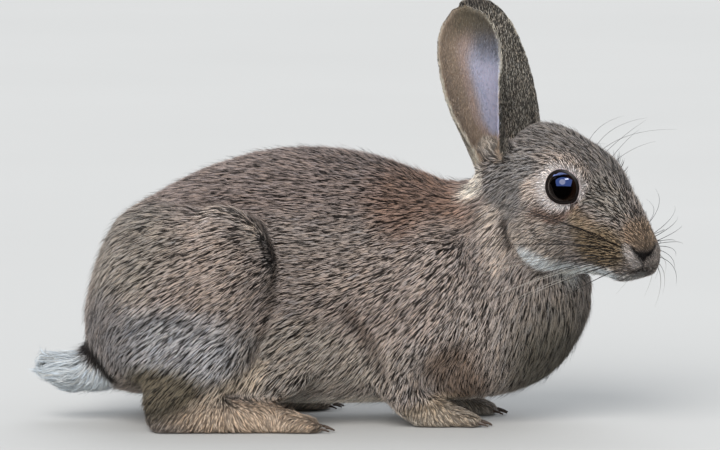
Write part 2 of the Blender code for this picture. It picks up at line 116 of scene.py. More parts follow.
# ---- the lie of the coat: a place, and the way that the hair points there --------------------------
# One side only, with x as the distance from the middle; the other side mirrors it.
BODY_LIE = (
    ((0, -40, 104), (0, 1, 0)),  # nape
    ((0, 20, 124), (0, 1, 0)),  # back
    ((0, 85, 112), (0, 1, -0.3)),  # loins
    ((25, 132, 78), (0, 0.35, -1)),  # rump
    ((30, 126, 45), (0, 0.45, -1)),  # back of the thigh
    ((42, 62, 96), (0, 1, -0.25)),  # top of the haunch
    ((50, 75, 74), (0, 0.85, -0.5)),  # thigh
    ((50, 55, 80), (0, 0.9, -0.42)),
    ((52, 80, 45), (0, 0.8, -0.6)),
    ((48, 44, 58), (0, 0.72, -0.68)),  # front of the thigh
    ((48, 70, 22), (0, 0.75, -0.65)),  # shank
    ((40, 14, 92), (0, 1, -0.1)),  # flank
    ((44, 22, 74), (0, 1, 0.22)),
    ((45, 20, 56), (0, 1, 0.05)),
    ((45, 2, 44), (0, 0.8, -0.55)),
    ((40, 18, 30), (0, 0.8, -0.6)),
    ((38, -6, 84), (0, 1, -0.22)),
    ((38, -20, 72), (0, 0.88, -0.45)),  # shoulder
    ((38, -28, 54), (0, 0.72, -0.68)),
    ((36, -16, 40), (0, 0.45, -0.88)),
    ((30, -48, 84), (0, 0.6, -0.8)),  # side of the neck
    ((28, -60, 58), (0, 0.45, -0.9)),
    ((0, -98, 52), (0, -0.1, -1)),  # chest
    ((16, -84, 34), (0, 0.2, -1)),
    ((0, -62, 14), (0, 0.7, -0.7)),  # under the chest
    ((0, 20, 8), (0, 1, 0)),  # belly
    ((24, -22, 20), (0, 0.15, -1)),  # foreleg
    ((20, -50, 8), (0, -1, -0.15)),  # forepaw
    ((38, 84, 14), (0, 0.5, -0.85)),  # heel
    ((38, 45, 9), (0, -1, -0.1)),  # hind foot
)
HEAD_LIE = (
    ((0, -84, 4), (0, 0.3, 1)),  # tip of the nose
    ((9, -77, 1), (0.5, 0.9, 0.1)),  # side of the nose
    ((14, -66, 2), (0.25, 1, -0.3)),  # whisker pad
    ((10, -76, -9), (0.3, 0.9, -0.5)),  # lip
    ((0, -62, 24), (0, 1, 0.35)),  # bridge
    ((10, -50, 24), (0, 1, 0.25)),
    ((0, -20, 36), (0, 1, -0.05)),  # crown
    ((19, -50, 8), (0.1, 0.85, -0.5)),  # under the eye
    ((24, -36, -6), (0, 0.5, -0.87)),  # cheek
    ((22, -18, 2), (0, 0.35, -0.94)),  # behind the cheek
    ((17, -14, 20), (0, 0.7, -0.7)),  # temple
    ((20, -44, -18), (0, 0.6, -0.8)),  # jaw
    ((0, -60, -17), (0, 1, -0.2)),  # throat
)
LIE_REACH = {"body": 15.0, "head": 9.0}

# ---- folds pressed into the skin: points, half width and depth in mm -------------------------------
# The nose is held a little to the right, so the two sides are given one by one.
NOSTRIL_RIGHT = ((-9.0, -78.4, 3.6), (-7.6, -80.8, 1.8), (-5.2, -82.9, -0.8))
NOSTRIL_LEFT = ((2.3, -81.8, 4.2), (-1.4, -82.9, 2.0), (-5.2, -82.9, -0.8))
PHILTRUM = ((-5.2, -82.9, -0.8), (-4.6, -83.2, -3.6))
MOUTH = ((0.6, -83.6, -5.8), (-4.2, -83.4, -5.2), (-7.6, -82.0, -6.9), (-11.4, -76.4, -9.6))
JAW_CREASE = ((20.5, -17, -4), (21.5, -19, -8), (22, -22, -13.5), (21, -26, -18), (19.5, -30.5, -21))
THIGH_FRONT = (
    (27, 74, 101), (28, 57, 102), (33, 38, 95), (41, 30.5, 78), (45, 29.5, 60), (44, 34, 46), (42, 40, 34),
)
HAUNCH = ((39, 58, 98), (38, 46, 95), (41, 39, 86), (45, 37, 72))
THIGH_FOLDS = (
    ((48.5, 93, 49), (51.7, 82, 55), (52.2, 74, 54.5), (52, 66, 52), (52, 58, 47.5)),
    ((45, 97, 41), (50, 88, 38), (52.6, 76, 38.5), (53, 66, 36)),
)
ELBOW = ((41, -4, 56), (40, -9, 48), (37.5, -13.8, 39), (35.5, -18, 27))
# Space, line, half width and depth; a fold of less than no depth is a swelling.
FOLDS = (
    ("nose", ((-4.6, -82.4, 1.6), (-4.5, -82.6, 2.6)), 2.6, 1.0),
    ("nose", NOSTRIL_RIGHT, 0.8, 1.3),
    ("nose", NOSTRIL_LEFT, 0.8, 1.3),
    ("nose", PHILTRUM, 0.7, 0.7),
    ("nose", MOUTH, 1.2, 1.3),
    ("nose", ((-4.0, -78.5, 7.5), (-4.0, -76.0, 9.5)), 4.6, -0.9),
    ("head", ((13.8, -73.5, -0.5), (15.2, -66.0, -1.0)), 5.2, -1.0),
    ("head", ((12.0, -74.5, 8.4), (14.5, -66.0, 9.5), (15.0, -58.0, 10.0)), 2.2, 0.7),
    ("head", JAW_CREASE, 2.6, 1.5),
    ("body", THIGH_FRONT, 3.2, 2.8),
    ("body", HAUNCH, 4.5, -1.2),
    ("body", THIGH_FOLDS[0], 1.6, 0.9),
    ("body", THIGH_FOLDS[1], 1.6, 0.7),
    ("body", ELBOW, 5.0, 2.6),
)

# ---- markings, painted in this order: space, shape, reach, colour, strength -------------------------
# A shape of one point is a patch whose reach is its three radii. One of more points is a stroke, whose
# reach is its half width. Colours are those of the whole coat at that place, seen from a step away; some
# are painted shade in creases and hollows, a painted shadow under the head, or painted highlights on crests.
COAT_BASE = "#716963"
MARKINGS = (
    ("body", ((0, 30, 120),), (62, 110, 34), "#635853", 0.85),  # back
    ("body", ((48, 15, 62),), (32, 46, 30), "#675e58", 0.8),  # flank
    ("body", ((42, 14, 32),), (34, 44, 21), "#716a62", 0.9),  # lower flank
    ("body", ((42, -18, 64),), (34, 28, 26), "#6f655e", 0.85),  # shoulder
    ("body", ((39, 3, 74), (36, -22, 77), (39.5, -33, 60)), 9.0, "#766c65", 0.7),  # painted highlight along the round of the shoulder
    ("body", ((50, 72, 76),), (30, 36, 30), "#776c64", 0.85),  # thigh
    ("body", ((36, 100, 88),), (44, 30, 32), "#635e57", 0.8),  # rump
    ("body", ((52, 78, 40),), (30, 38, 20), "#737272", 0.95),  # silver lower thigh
    ("body", ((38, 112, 44),), (34, 24, 26), "#4f4c4b", 0.8),  # back of the thigh
    ("body", ((48, 82, 20),), (28, 27, 14), "#453f34", 1.0),  # heel
    ("body", ((37, 37, 30), (45, 50, 23), (44, 64, 12)), 5.0, "#857a6c", 0.9),  # front of the shank
    ("body", ((40, 35, 7),), (16, 46, 9), "#aa9783", 0.95),  # hind foot
    ("body", ((20, -40, 7),), (14, 26, 10), "#8d7d68", 0.9),  # forepaw
    ("body", ((12, -36, 99),), (30, 27, 20), "#69564b", 0.95),  # rufous nape
    ("body", ((28, -46, 80),), (20, 18, 18), "#7c726b", 0.8),  # side of the neck
    ("body", ((6, -88, 42),), (34, 28, 32), "#36332b", 0.9),  # painted shadow of the head over the chest
    ("body", ((33, -48, 33), (24, -54, 20)), 11.0, "#514338", 0.8),  # painted shade in the hollow in front of the elbow
    ("body", ((0, 10, 2),), (32, 98, 15), "#a7a198", 0.9),  # belly
    ("body", THIGH_FRONT[:5], 2.6, "#40372f", 0.6),  # shade down the front of the thigh
    ("body", THIGH_FRONT[4:], 2.6, "#4b423c", 0.5),  # and of the knee
    ("body", ELBOW, 3.6, "#40362f", 0.6),  # shade behind the elbow
    ("body", HAUNCH[:3], 4.2, "#948a7f", 0.5),  # painted highlight along the crest of the haunch
    ("body", THIGH_FOLDS[0], 1.6, "#3a3838", 0.7),  # painted shade in the folds on the thigh
    ("body", THIGH_FOLDS[1], 1.5, "#464444", 0.55),
    ("head", ((0, -30, 34),), (19, 46, 17), "#4f4c49", 0.8),  # crown
    ("head", ((17, -14, 10),), (12, 15, 20), "#5f5d5b", 0.8),  # temple
    ("head", ((8.5, -59, 19),), (7, 15, 8), "#6b665f", 0.85),  # side of the bridge
    ("head", ((24, -36, -8),), (10, 17, 12), "#837a71", 0.8),  # cheek
    ("head", ((22, -34, 2), (20, -47, 5.5), (17, -57, 9)), 4.6, "#625046", 0.9),  # under the eye
    ("head", ((14.5, -66, 0),), (9, 13, 10), "#6e5f4a", 0.95),  # whisker pad
    ("nose", ((-3, -78, 9),), (12, 8.5, 6.8), "#84715e", 0.95),  # top of the nose
    ("head", ((15, -36, 27.0),), (7, 14, 5.6), "#867b72", 0.9),  # brow
    ("head", ((20.5, -28, 13.5),), (6, 6.5, 6.5), "#a99b90", 0.9),  # behind the eye
    ("head", ((17.5, -38.5, 17.2),), (8, 12.4, 10.6), "#d2c9c4", 0.95),  # ring round the eye
    ("head", ((18, -38.7, 17.8),), (8, 10.4, 9.2), "#e6e0dc", 0.92),  # its inner edge
    ("head", ((13.5, -20, 30), (11, -28, 33), (8.5, -38, 34.5), (6, -48, 32)), 1.3, "#4c4742", 0.6),
    (
        "head", (
            (24.3, -34, -15.4), (22.9, -40.6, -15.6), (16, -48, -17.3), (11, -56, -18), (12.3, -66, -14.2),
            (12.6, -73, -11.6),
        ), 3.9, "#c0c4c5", 0.9,
    ),  # white along the jaw
    ("head", ((0, -55, -19),), (12, 32, 8), "#a8aaa8", 0.9),  # throat
    ("nose", ((-10.5, -79, -9.6), (-3, -82.5, -9.6)), 2.4, "#a09e9a", 0.85),  # lower lip
    ("nose", ((-11.0, -77.2, 3.4), (-10.2, -79.6, 0.0), (-8.0, -81.8, -2.4)), 1.9, "#b0a8a2", 0.95),
    ("nose", ((4.0, -81.4, 1.6), (0.6, -83.2, -2.0), (-3.0, -83.5, -3.6)), 2.3, "#9c928a", 0.95),
    ("nose", MOUTH, 1.2, "#2f2826", 0.9),  # painted shade along the mouth, under the overhanging lip
    ("nose", PHILTRUM, 0.8, "#4a3f3a", 0.7),  # painted shade in the cleft of the lip
    ("nose", ((-7.0, -81.2, 1.8), (-4.6, -82.7, 1.0), (-1.2, -82.8, 2.0)), 1.5, "#1d1613", 0.9),  # painted shade in the pit at the tip of the nose
    # painted shade in the nostril slits
    ("nose", NOSTRIL_RIGHT, 0.9, "#191412", 1.0),
    ("nose", NOSTRIL_LEFT, 0.9, "#191412", 1.0),
    ("head", ((23.5, -12, -4), (25.4, -17.5, -13), (24, -21, -24)), 4.2, "#978c82", 0.8),  # behind the cheek
    ("head", ((22.8, -17.5, -4), (23.3, -20, -9.5), (23.6, -23.5, -15)), 1.5, "#28221f", 0.9),  # painted shade in the crease in it
    ("body", ((20, -56, 113),), (10, 7, 9), "#b1aba1", 0.9),  # whitish tuft behind the ear
    ("body", (EAR_ROOT,), (11, 12, 9), "#877f74", 0.85),  # foot of the ear
    ("body", ((16.5, -67, 134.5),), (5, 4, 5), "#2b2724", 0.8),  # painted shadow at the root of the ear's front edge
)
TAIL_WHITE, TAIL_DARK = "#c8ced1", "#1b1613"
TAIL_EDGE = ((108.7, 12.0), (0.76, -0.65))  # a place on the white's edge, along and up, and the way across it
# Dark: the ears' tips, and painted shade at the foot of the front edge. Shade and top: painted shade inside.
EAR_OUTSIDE, EAR_TIP_AND_SHADE, EAR_RIM = "#67625a", "#2b2724", "#cfc8b8"
EAR_TAN, EAR_BARE, EAR_SHADE, EAR_FRINGE = "#9c8a79", "#adb1c4", "#656b78", "#8d857a"
EAR_FLUSH, EAR_TOP_SHADE = "#ac9890", "#655c4c"
EAR_OPENING = {"ear_right": np.array((-1, 0.15, 0.1)), "ear_left": np.array((1, 0.15, 0.1))}


# ---- small tools -----------------------------------------------------------------------------------
def linear(hex_colour):
    """An sRGB hex colour as linear red, green and blue."""
    parts = [int(hex_colour[i:i + 2], 16) / 255 for i in (1, 3, 5)]
    return np.array([c / 12.92 if c <= 0.04045 else ((c + 0.055) / 1.055) ** 2.4 for c in parts])


def colour4(hex_colour):
    """The same for a socket, with an alpha of one."""
    return (*linear(hex_colour), 1.0)


def unit(vectors):
    """The same directions, each one long."""
    return vectors / np.maximum(np.linalg.norm(vectors, axis=-1, keepdims=True), 1e-9)


def dot(a, b):
    """The dot product of each pair of rows, kept as a column."""
    return (a * b).sum(-1, keepdims=True)


def ramp(low, high, values):
    """0 at low, 1 at high and smooth between them, in either order."""
    t = np.clip((values - low) / (high - low), 0, 1)
    return t * t * (3 - 2 * t)


def mirrored(points):
    """The same places, all on one side."""
    return np.column_stack((np.abs(points[:, 0]), points[:, 1:]))


def middle_of(node):
    """The middle of a node's box, in millimetres."""
    low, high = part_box(node)
    return np.array((low + high) / 2) / MM


HEAD_AXES = np.array(
    Matrix.Rotation(-HEAD_TURN, 3, "Z")
    @ Matrix.Rotation(HEAD_NOD, 3, "X")
    @ Matrix.Rotation(-HEAD_TILT, 3, "Y")
)
HEAD_ORIGIN = (middle_of("eye_right") + middle_of("eye_left")) / 2 - HEAD_AXES @ (EYE_IN_HEAD * (0, 1, 1))


def into_head(points):
    """Places in the frame, told in the head's own space."""
    return (points - HEAD_ORIGIN) @ HEAD_AXES


def out_of_head(points):
    """Places in the head's own space, told in the frame."""
    return np.asarray(points) @ HEAD_AXES.T + HEAD_ORIGIN


def gap_to_line(points, line):
    """How far each point is from a line through a few places."""
    best = np.full(len(points), np.inf)
    for start, end in zip(line, line[1:]):
        start, along = np.array(start, float), np.subtract(end, start).astype(float)
        t = np.clip((points - start) @ along / (along @ along), 0, 1)
        best = np.minimum(best, np.linalg.norm(points - start - t[:, None] * along, axis=1))
    return best


def finder(points):
    """Finds the nearest of the points to any place."""
    tree = KDTree(len(points))
    for i, point in enumerate(points.tolist()):
        tree.insert(point, i)
    tree.balance()
    return tree


def new_piece(name, mesh):
    """A finished mesh as a piece that rides on the body."""
    piece = bpy.data.objects.new(name, mesh)
    bpy.context.scene.collection.objects.link(piece)
    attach(piece, "root")
    return piece


def triangle_mesh(name, points, triangles):
    """A smooth-shaded mesh from arrays in millimetres."""
    mesh = bpy.data.meshes.new(name)
    mesh.vertices.add(len(points))
    mesh.vertices.foreach_set("co", (points * MM).astype(np.float32).ravel())
    mesh.loops.add(triangles.size)
    mesh.loops.foreach_set("vertex_index", triangles.astype(np.int32).ravel())
    mesh.polygons.add(len(triangles))
    mesh.polygons.foreach_set("loop_start", np.arange(0, triangles.size, 3, dtype=np.int32))
    mesh.polygons.foreach_set("use_smooth", np.ones(len(triangles), bool))
    mesh.update(calc_edges=True)
    return mesh


def repeated(pattern, count, size):
    """The same triangles for each of many like shapes, of so many points each."""
    return (np.arange(count)[:, None, None] * size + pattern[None]).reshape(-1, 3)


def paint(mesh, name, kind, values):
    """Values for each vertex, kept on the mesh under a name that a material reads."""
    layer = mesh.attributes.new(name, kind, "POINT")
    field = {"FLOAT": "value", "FLOAT_VECTOR": "vector", "FLOAT_COLOR": "color"}[kind]
    layer.data.foreach_set(field, np.asarray(values, np.float32).ravel())


def add_node(tree, kind, settings=(), links=()):
    """Adds a shader node: settings go to its sockets or options, links name a socket and its source."""
    node = tree.nodes.new(kind)
    for key, value in dict(settings).items():
        if isinstance(key, int) or key in node.inputs:
            node.inputs[key].default_value = value
        else:
            setattr(node, key, value)
    for key, source in dict(links).items():
        tree.links.new(source, node.inputs[key])
    return node


def set_stops(node, stops):
    """Gives a colour ramp its places and colours."""
    elements = node.color_ramp.elements
    for i, (at, colour) in enumerate(stops):
        stop = elements[i] if i < 2 else elements.new(at)
        stop.position, stop.color = at, colour


def new_material(name):
    """An empty node material and its tree."""
    material = bpy.data.materials.new(name)
    material.use_nodes = True
    material.node_tree.nodes.clear()
    return material, material.node_tree


# ---- the surface that the coat grows on --------------------------------------------------------------
class Surface:
    """A triangle mesh as arrays in millimetres, with the neighbours that smoothing needs."""

    def __init__(self, points, triangles):
        self.points, self.triangles = points, triangles
        pairs = np.concatenate([triangles[:, [a, b]] for a, b in ((0, 1), (1, 2), (2, 0))])
        pairs = np.unique(np.concatenate((pairs, pairs[:, ::-1])), axis=0)
        self.neighbours = pairs[:, 1]
        self.starts = np.searchsorted(pairs[:, 0], np.arange(len(points)))
        self.counts = np.diff(np.append(self.starts, len(pairs)))[:, None]

    def spread(self, values, rounds, share=0.5, stay=None):
        """Evens values out over the surface; those marked to stay keep theirs."""
        flat = values.ndim == 1
        values = values[:, None].astype(float) if flat else values.astype(float)
        kept = values.copy()
        for _ in range(rounds):
            mean = np.add.reduceat(values[self.neighbours], self.starts) / self.counts
            values = values + (mean - values) * share
            if stay is not None:
                values[stay] = kept[stay]
        return values[:, 0] if flat else values

    def relax(self, rounds):
        """Smooths the shape without shrinking it."""
        for _ in range(rounds):
            self.points = self.spread(self.points, 1, 0.55)
            self.points = self.spread(self.points, 1, -0.57)

    def normals(self):
        """The way out of the surface at each point, from the faces round it by their areas."""
        a, b, c = (self.points[self.triangles[:, i]] for i in range(3))
        face = np.cross(b - a, c - a)
        total = np.zeros_like(self.points)
        for corner in range(3):
            for axis in range(3):
                total[:, axis] += np.bincount(self.triangles[:, corner], face[:, axis], len(self.points))
        return unit(total)


FLESH = sorted(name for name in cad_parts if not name.startswith(("claw", "eye")))
EYES = ("eye_right", "eye_left")


def fused_flesh(voxel, grow):
    """One closed surface round the flesh nodes and eyes, each grown to close the cuts between them."""
    whole = bmesh.new()
    for name in (*FLESH, *EYES):
        part = bmesh.new()
        part.from_mesh(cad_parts[name].data)
        bmesh.ops.remove_doubles(part, verts=part.verts, dist=0.001 * MM)
        part.normal_update()
        for vert in part.verts:
            vert.co += vert.normal * grow * MM
        data = bpy.data.meshes.new("grown")
        part.to_mesh(data)
        part.free()
        whole.from_mesh(data)
        bpy.data.meshes.remove(data)
    mesh = bpy.data.meshes.new("flesh")
    whole.to_mesh(mesh)
    whole.free()
    body = bpy.data.objects.new("flesh", mesh)
    bpy.context.scene.collection.objects.link(body)
    remesh = body.modifiers.new("fuse", "REMESH")
    remesh.mode = "VOXEL"
    remesh.voxel_size = voxel * MM
    fused = bpy.data.meshes.new_from_object(body.evaluated_get(bpy.context.evaluated_depsgraph_get()))
    bpy.data.objects.remove(body)
    shell = bmesh.new()
    shell.from_mesh(fused)
    keep_largest_body(shell)
    refine_muzzle(shell)
    bmesh.ops.triangulate(shell, faces=shell.faces)
    shell.to_mesh(fused)
    shell.free()
    points = np.zeros(len(fused.vertices) * 3, np.float32)
    fused.vertices.foreach_get("co", points)
    triangles = np.zeros(len(fused.polygons) * 3, np.int32)
    fused.polygons.foreach_get("vertices", triangles)
    bpy.data.meshes.remove(fused)
    return Surface(points.reshape(-1, 3).astype(float) / MM, triangles.reshape(-1, 3))


def keep_largest_body(shell):
    """Drops the inner shells that a voxel remesh leaves where sockets or gaps close."""
    left, bodies = set(shell.verts), []
    while left:
        body, edge = set(), [left.pop()]
        while edge:
            vert = edge.pop()
            body.add(vert)
            for link in vert.link_edges:
                other = link.other_vert(vert)
                if other in left:
                    left.remove(other)
                    edge.append(other)
        bodies.append(body)
    biggest = max(bodies, key=len)
    bmesh.ops.delete(shell, geom=[v for body in bodies if body is not biggest for v in body], context="VERTS")


def refine_muzzle(shell):
    """Halves the mesh round the nose and mouth, where the folds are narrow."""
    spots = out_of_head(np.array(((6, -80, 0), (-6, -80, 0), (8, -74, -8), (-8, -74, -8)))) * MM
    near = [
        edge for edge in shell.edges
        if min((edge.verts[0].co - Vector(spot)).length for spot in spots) < 12 * MM
    ]
    bmesh.ops.subdivide_edges(shell, edges=near, cuts=1, use_grid_fill=True)


def nearest_nodes(points):
    """The name of the flesh node, or eye, that each point belongs to."""
    corners, faces, owner = [], [], []
    for name in (*FLESH, *EYES):
        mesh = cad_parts[name].data
        start = len(corners)
        corners.extend(v.co / MM for v in mesh.vertices)
        for face in mesh.polygons:
            faces.append([start + i for i in face.vertices])
            owner.append(name)
    tree = BVHTree.FromPolygons(corners, faces)
    owner = np.array(owner)
    return owner[[tree.find_nearest(point)[2] for point in points.tolist()]]


def kind_of(node):
    """A node's name without its side."""
    return node.split("_")[0]


def eye_frames():
    """Each eye's side, middle, outward axis, and the ways towards the nose and the crown across it."""
    for side, name in ((-1, "eye_right"), (1, "eye_left")):
        axis = unit(HEAD_AXES @ (EYE_AXIS * (side, 1, 1)))
        nose = HEAD_AXES @ np.array((0.0, -1.0, -0.10))
        nose = unit(nose - axis * (nose @ axis))
        crown = np.cross(nose, axis) * side * -1
        if crown @ (HEAD_AXES @ np.array((0, 0, 1.0))) < 0:
            crown = -crown
        yield side, name, middle_of(name), axis, nose, crown


def lid_opening(bearing):
    """Half angle of the opening in degrees at each bearing round the eye: 0 is towards the nose."""
    wide, high = LID_HALF_WIDTH, LID_HALF_HEIGHT
    opening = wide * high / np.hypot(high * np.cos(bearing), wide * np.sin(bearing))
    off = np.abs((bearing + math.radians(24) + math.pi) % (2 * math.pi) - math.pi)
    return opening + LID_CORNER * np.exp(-((off / 0.30) ** 2))


def seen_from_eye(points, middle, axis, nose, crown):
    """Rays from the eye's middle to the points, with their lengths, angles off its axis and bearings."""
    ray = points - middle
    reach = np.linalg.norm(ray, axis=1)
    angle = np.degrees(np.arccos(np.clip(ray @ axis / np.maximum(reach, 1e-9), -1, 1)))
    return ray, reach, angle, np.arctan2(ray @ crown, ray @ nose)


def on_globe(middle, axis, around, angle, radius):
    """Places at an angle from the eye's axis, on a globe round its middle."""
    return middle + (np.cos(angle) * axis + np.sin(angle) * around) * radius


class Ear:
    """Where each point lies on an ear: how far up, how far to the front, and whether it faces inwards."""

    def __init__(self, name):
        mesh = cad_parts[name].data
        points = np.array([v.co for v in mesh.vertices]) / MM
        self.low, self.high = points[:, 2].min(), points[:, 2].max()
        self.curve_x, self.curve_y = (np.polyfit(points[:, 2], points[:, axis], 3) for axis in (0, 1))
        self.levels = np.linspace(self.low, self.high, 15)
        off = np.abs(points[:, 1] - np.polyval(self.curve_y, points[:, 2]))
        near = np.abs(points[:, 2][None] - self.levels[:, None]) < 7
        self.half_widths = np.where(near, off[None], 0).max(1)
        self.opening = unit(EAR_OPENING[name])

    def read(self, points, normals):
        """Up runs from 0 to 1, fore from -1 at the rear edge to 1 at the front one, facing from -1 to 1."""
        height = np.clip(points[:, 2], self.low, self.high)
        spine_x, spine_y = np.polyval(self.curve_x, height), np.polyval(self.curve_y, height)
        spine = np.column_stack((spine_x, spine_y, points[:, 2]))
        half = np.interp(height, self.levels, self.half_widths)
        up = (points[:, 2] - self.low) / (self.high - self.low)
        fore = (spine[:, 1] - points[:, 1]) / half
        facing = dot(unit(spine + self.opening * 9 - points), normals)[:, 0]
        return up, fore, facing


def build_skin(settings):
    """The smooth skin with everything that the coat needs to know about each of its points."""
    skin = fused_flesh(settings.skin_step / MM, 0.25)
    owner = nearest_nodes(skin.points)
    kinds = np.array([kind_of(name) for name in owner])
    is_ear = kinds == "ear"
    thick = skin.points.copy()
    skin.relax(14)
    skin.points[is_ear] = 0.5 * skin.points[is_ear] + 0.5 * thick[is_ear]
    skin.relax(2)
    outer = skin.points.copy()

    keys = ("depth", "length", "width", "density")
    fields = {key: np.array([COAT[kind][key] for kind in kinds]) for key in keys}
    in_head = into_head(skin.points)
    from_nose = np.linalg.norm(in_head - NOSE_IN_HEAD, axis=1)
    is_head = kinds == "head"
    for key, (share, near, far) in AT_NOSE.items():
        fields[key][is_head] *= share + (1 - share) * ramp(near, far, from_nose[is_head])
    around_eye = np.ones(len(skin.points))
    for _, _, middle, *_ in eye_frames():
        around_eye = np.minimum(around_eye, ramp(9.5, 19, np.linalg.norm(skin.points - middle, axis=1)))
    for key, share in AT_EYES.items():
        fields[key] *= share + (1 - share) * around_eye
    for key, rounds in (("depth", 14), ("length", 10), ("width", 10)):
        fields[key] = skin.spread(fields[key], rounds, stay=is_ear)
    one_side = mirrored(skin.points)
    for place, radii, times in LONGER:
        near = (1 - ramp(0.5, 1.3, np.linalg.norm((one_side - place) / radii, axis=1))) * ~is_ear
        fields["length"] *= 1 + (times - 1) * near
    root = (1 - ramp(7, 12, np.linalg.norm(one_side - EAR_ROOT, axis=1))) * ~is_ear
    fields["length"] += (8.0 - fields["length"]) * root

    normals = skin.normals()
    skin.points = skin.points - normals * fields["depth"][:, None]
    press_folds(skin, normals)
    open_eyes(skin)
    skin.relax(1)
    skin.fields, skin.owner, skin.kinds, skin.outer = fields, owner, kinds, outer
    return skin


def in_space(space, points):
    """Points in the space that a fold or marking is given in; all but the nose has one side for both."""
    if space == "nose":
        return into_head(points)
    return mirrored(into_head(points) if space == "head" else points)


def press_folds(skin, normals):
    """Presses each fold into the skin along its line, soft at its edges."""
    for space, line, half_width, depth in FOLDS:
        points = in_space(space, skin.points)
        press = depth * np.exp(-((gap_to_line(points, line) / half_width) ** 2))
        skin.points = skin.points - normals * press[:, None]


def open_eyes(skin):
    """Keeps the skin under the eyeball inside the opening, and close round the eyeball outside it."""
    for _, _, middle, axis, nose, crown in eye_frames():
        ray, reach, angle, bearing = seen_from_eye(skin.points, middle, axis, nose, crown)
        past = angle - lid_opening(bearing)
        limit = np.where(past < 7, EYE_RADIUS - 0.9, EYE_RADIUS + 0.5 + 1.2 * ((past - 7) / 10) ** 2)
        near = (reach > limit) & (angle < 125) & (reach < 24)
        skin.points[near] = middle + ray[near] / reach[near, None] * limit[near, None]


# ---- what grows where ----------------------------------------------------------------------------------
def lie_of_coat(skin, normals):
    """The way that the hair points at each point of the skin."""
    def blended(points, guides, reach):
        """The guides' ways, each the stronger the nearer it is, mirrored to the point's side."""
        side = np.sign(points[:, 0])[:, None]
        places = np.array([g[0] for g in guides], float)
        ways = unit(np.array([g[1] for g in guides], float))
        gaps = np.linalg.norm(mirrored(points)[:, None] - places[None], axis=2)
        weights = np.exp(-((gaps - gaps.min(1, keepdims=True)) / reach))
        way = unit(weights @ ways)
        return way * np.column_stack((side[:, 0], np.ones(len(way)), np.ones(len(way))))

    way = blended(skin.points, BODY_LIE, LIE_REACH["body"])
    on_head = np.isin(skin.kinds, ("head", "eye")) & (into_head(skin.points)[:, 2] > JAW_FLOOR)
    way[on_head] = (blended(into_head(skin.points[on_head]), HEAD_LIE, LIE_REACH["head"])) @ HEAD_AXES.T
    for _, _, middle, axis, nose, crown in eye_frames():
        ray, reach, *_ = seen_from_eye(skin.points, middle, axis, nose, crown)
        away = unit(ray - axis * (ray @ axis)[:, None])
        pull = (1 - ramp(8, 15, reach))[:, None] * 0.9
        way = unit(way * (1 - pull) + (away * 0.9 + way * 0.35) * pull)
    # Over the breast the hair follows the curve of the body: forwards on top, then down, then back below.
    curl = np.column_stack((0 * normals[:, 0], -normals[:, 2], normals[:, 1]))
    breast = (1 - ramp(18, 36, np.linalg.norm(skin.points - BREAST, axis=1))) * ~on_head
    way = unit(way * (1 - breast[:, None]) + curl * breast[:, None])
    root = (1 - ramp(7, 13, np.linalg.norm(mirrored(skin.points) - EAR_ROOT, axis=1)))[:, None]
    way = unit(way * (1 - root) + np.array((0.0, 0.30, 1.0)) * root)
    dock = middle_of("tail") * (1, 0, 1) + (0, 112, 0)
    on_tail = skin.kinds == "tail"
    way[on_tail] = unit(0.6 * unit(skin.points[on_tail] - dock) + (0, 0.7, -0.08))
    way = unit(skin.spread(way, 6))
    for name in EAR_OPENING:
        on_ear = skin.owner == name
        _, fore, facing = Ear(name).read(skin.points[on_ear], normals[on_ear])
        parted = -0.55 * fore * ramp(-0.2, 0.4, facing)  # inside, the hair parts towards both edges
        way[on_ear] = unit(np.column_stack((0 * parted, parted, 0 * parted + 1)))
    way = unit(skin.spread(way, 3))
    return unit(way - normals * dot(way, normals))


def paint_tail(skin, tint, ticking):
    """White below and behind, with a dark strip along the edge of the white."""
    place, way = TAIL_EDGE
    past = (skin.outer[:, 1:] - place) @ np.array(way)
    near_tail = (skin.outer[:, 1] > 96) & (skin.outer[:, 2] < 46) & (np.abs(skin.outer[:, 0]) < 26)
    white = ramp(-8.0, -5.0, past) * near_tail
    tint += (linear(TAIL_WHITE) - tint) * white[:, None]
    ticking *= 1 - 0.9 * white
    above = near_tail * ramp(15, 22, skin.outer[:, 2])
    strip = ramp(-14.0, -11.0, past) * (1 - ramp(-8.5, -6.5, past)) * above
    tint += (linear(TAIL_DARK) - tint) * strip[:, None]
    ticking *= 1 - 0.8 * strip


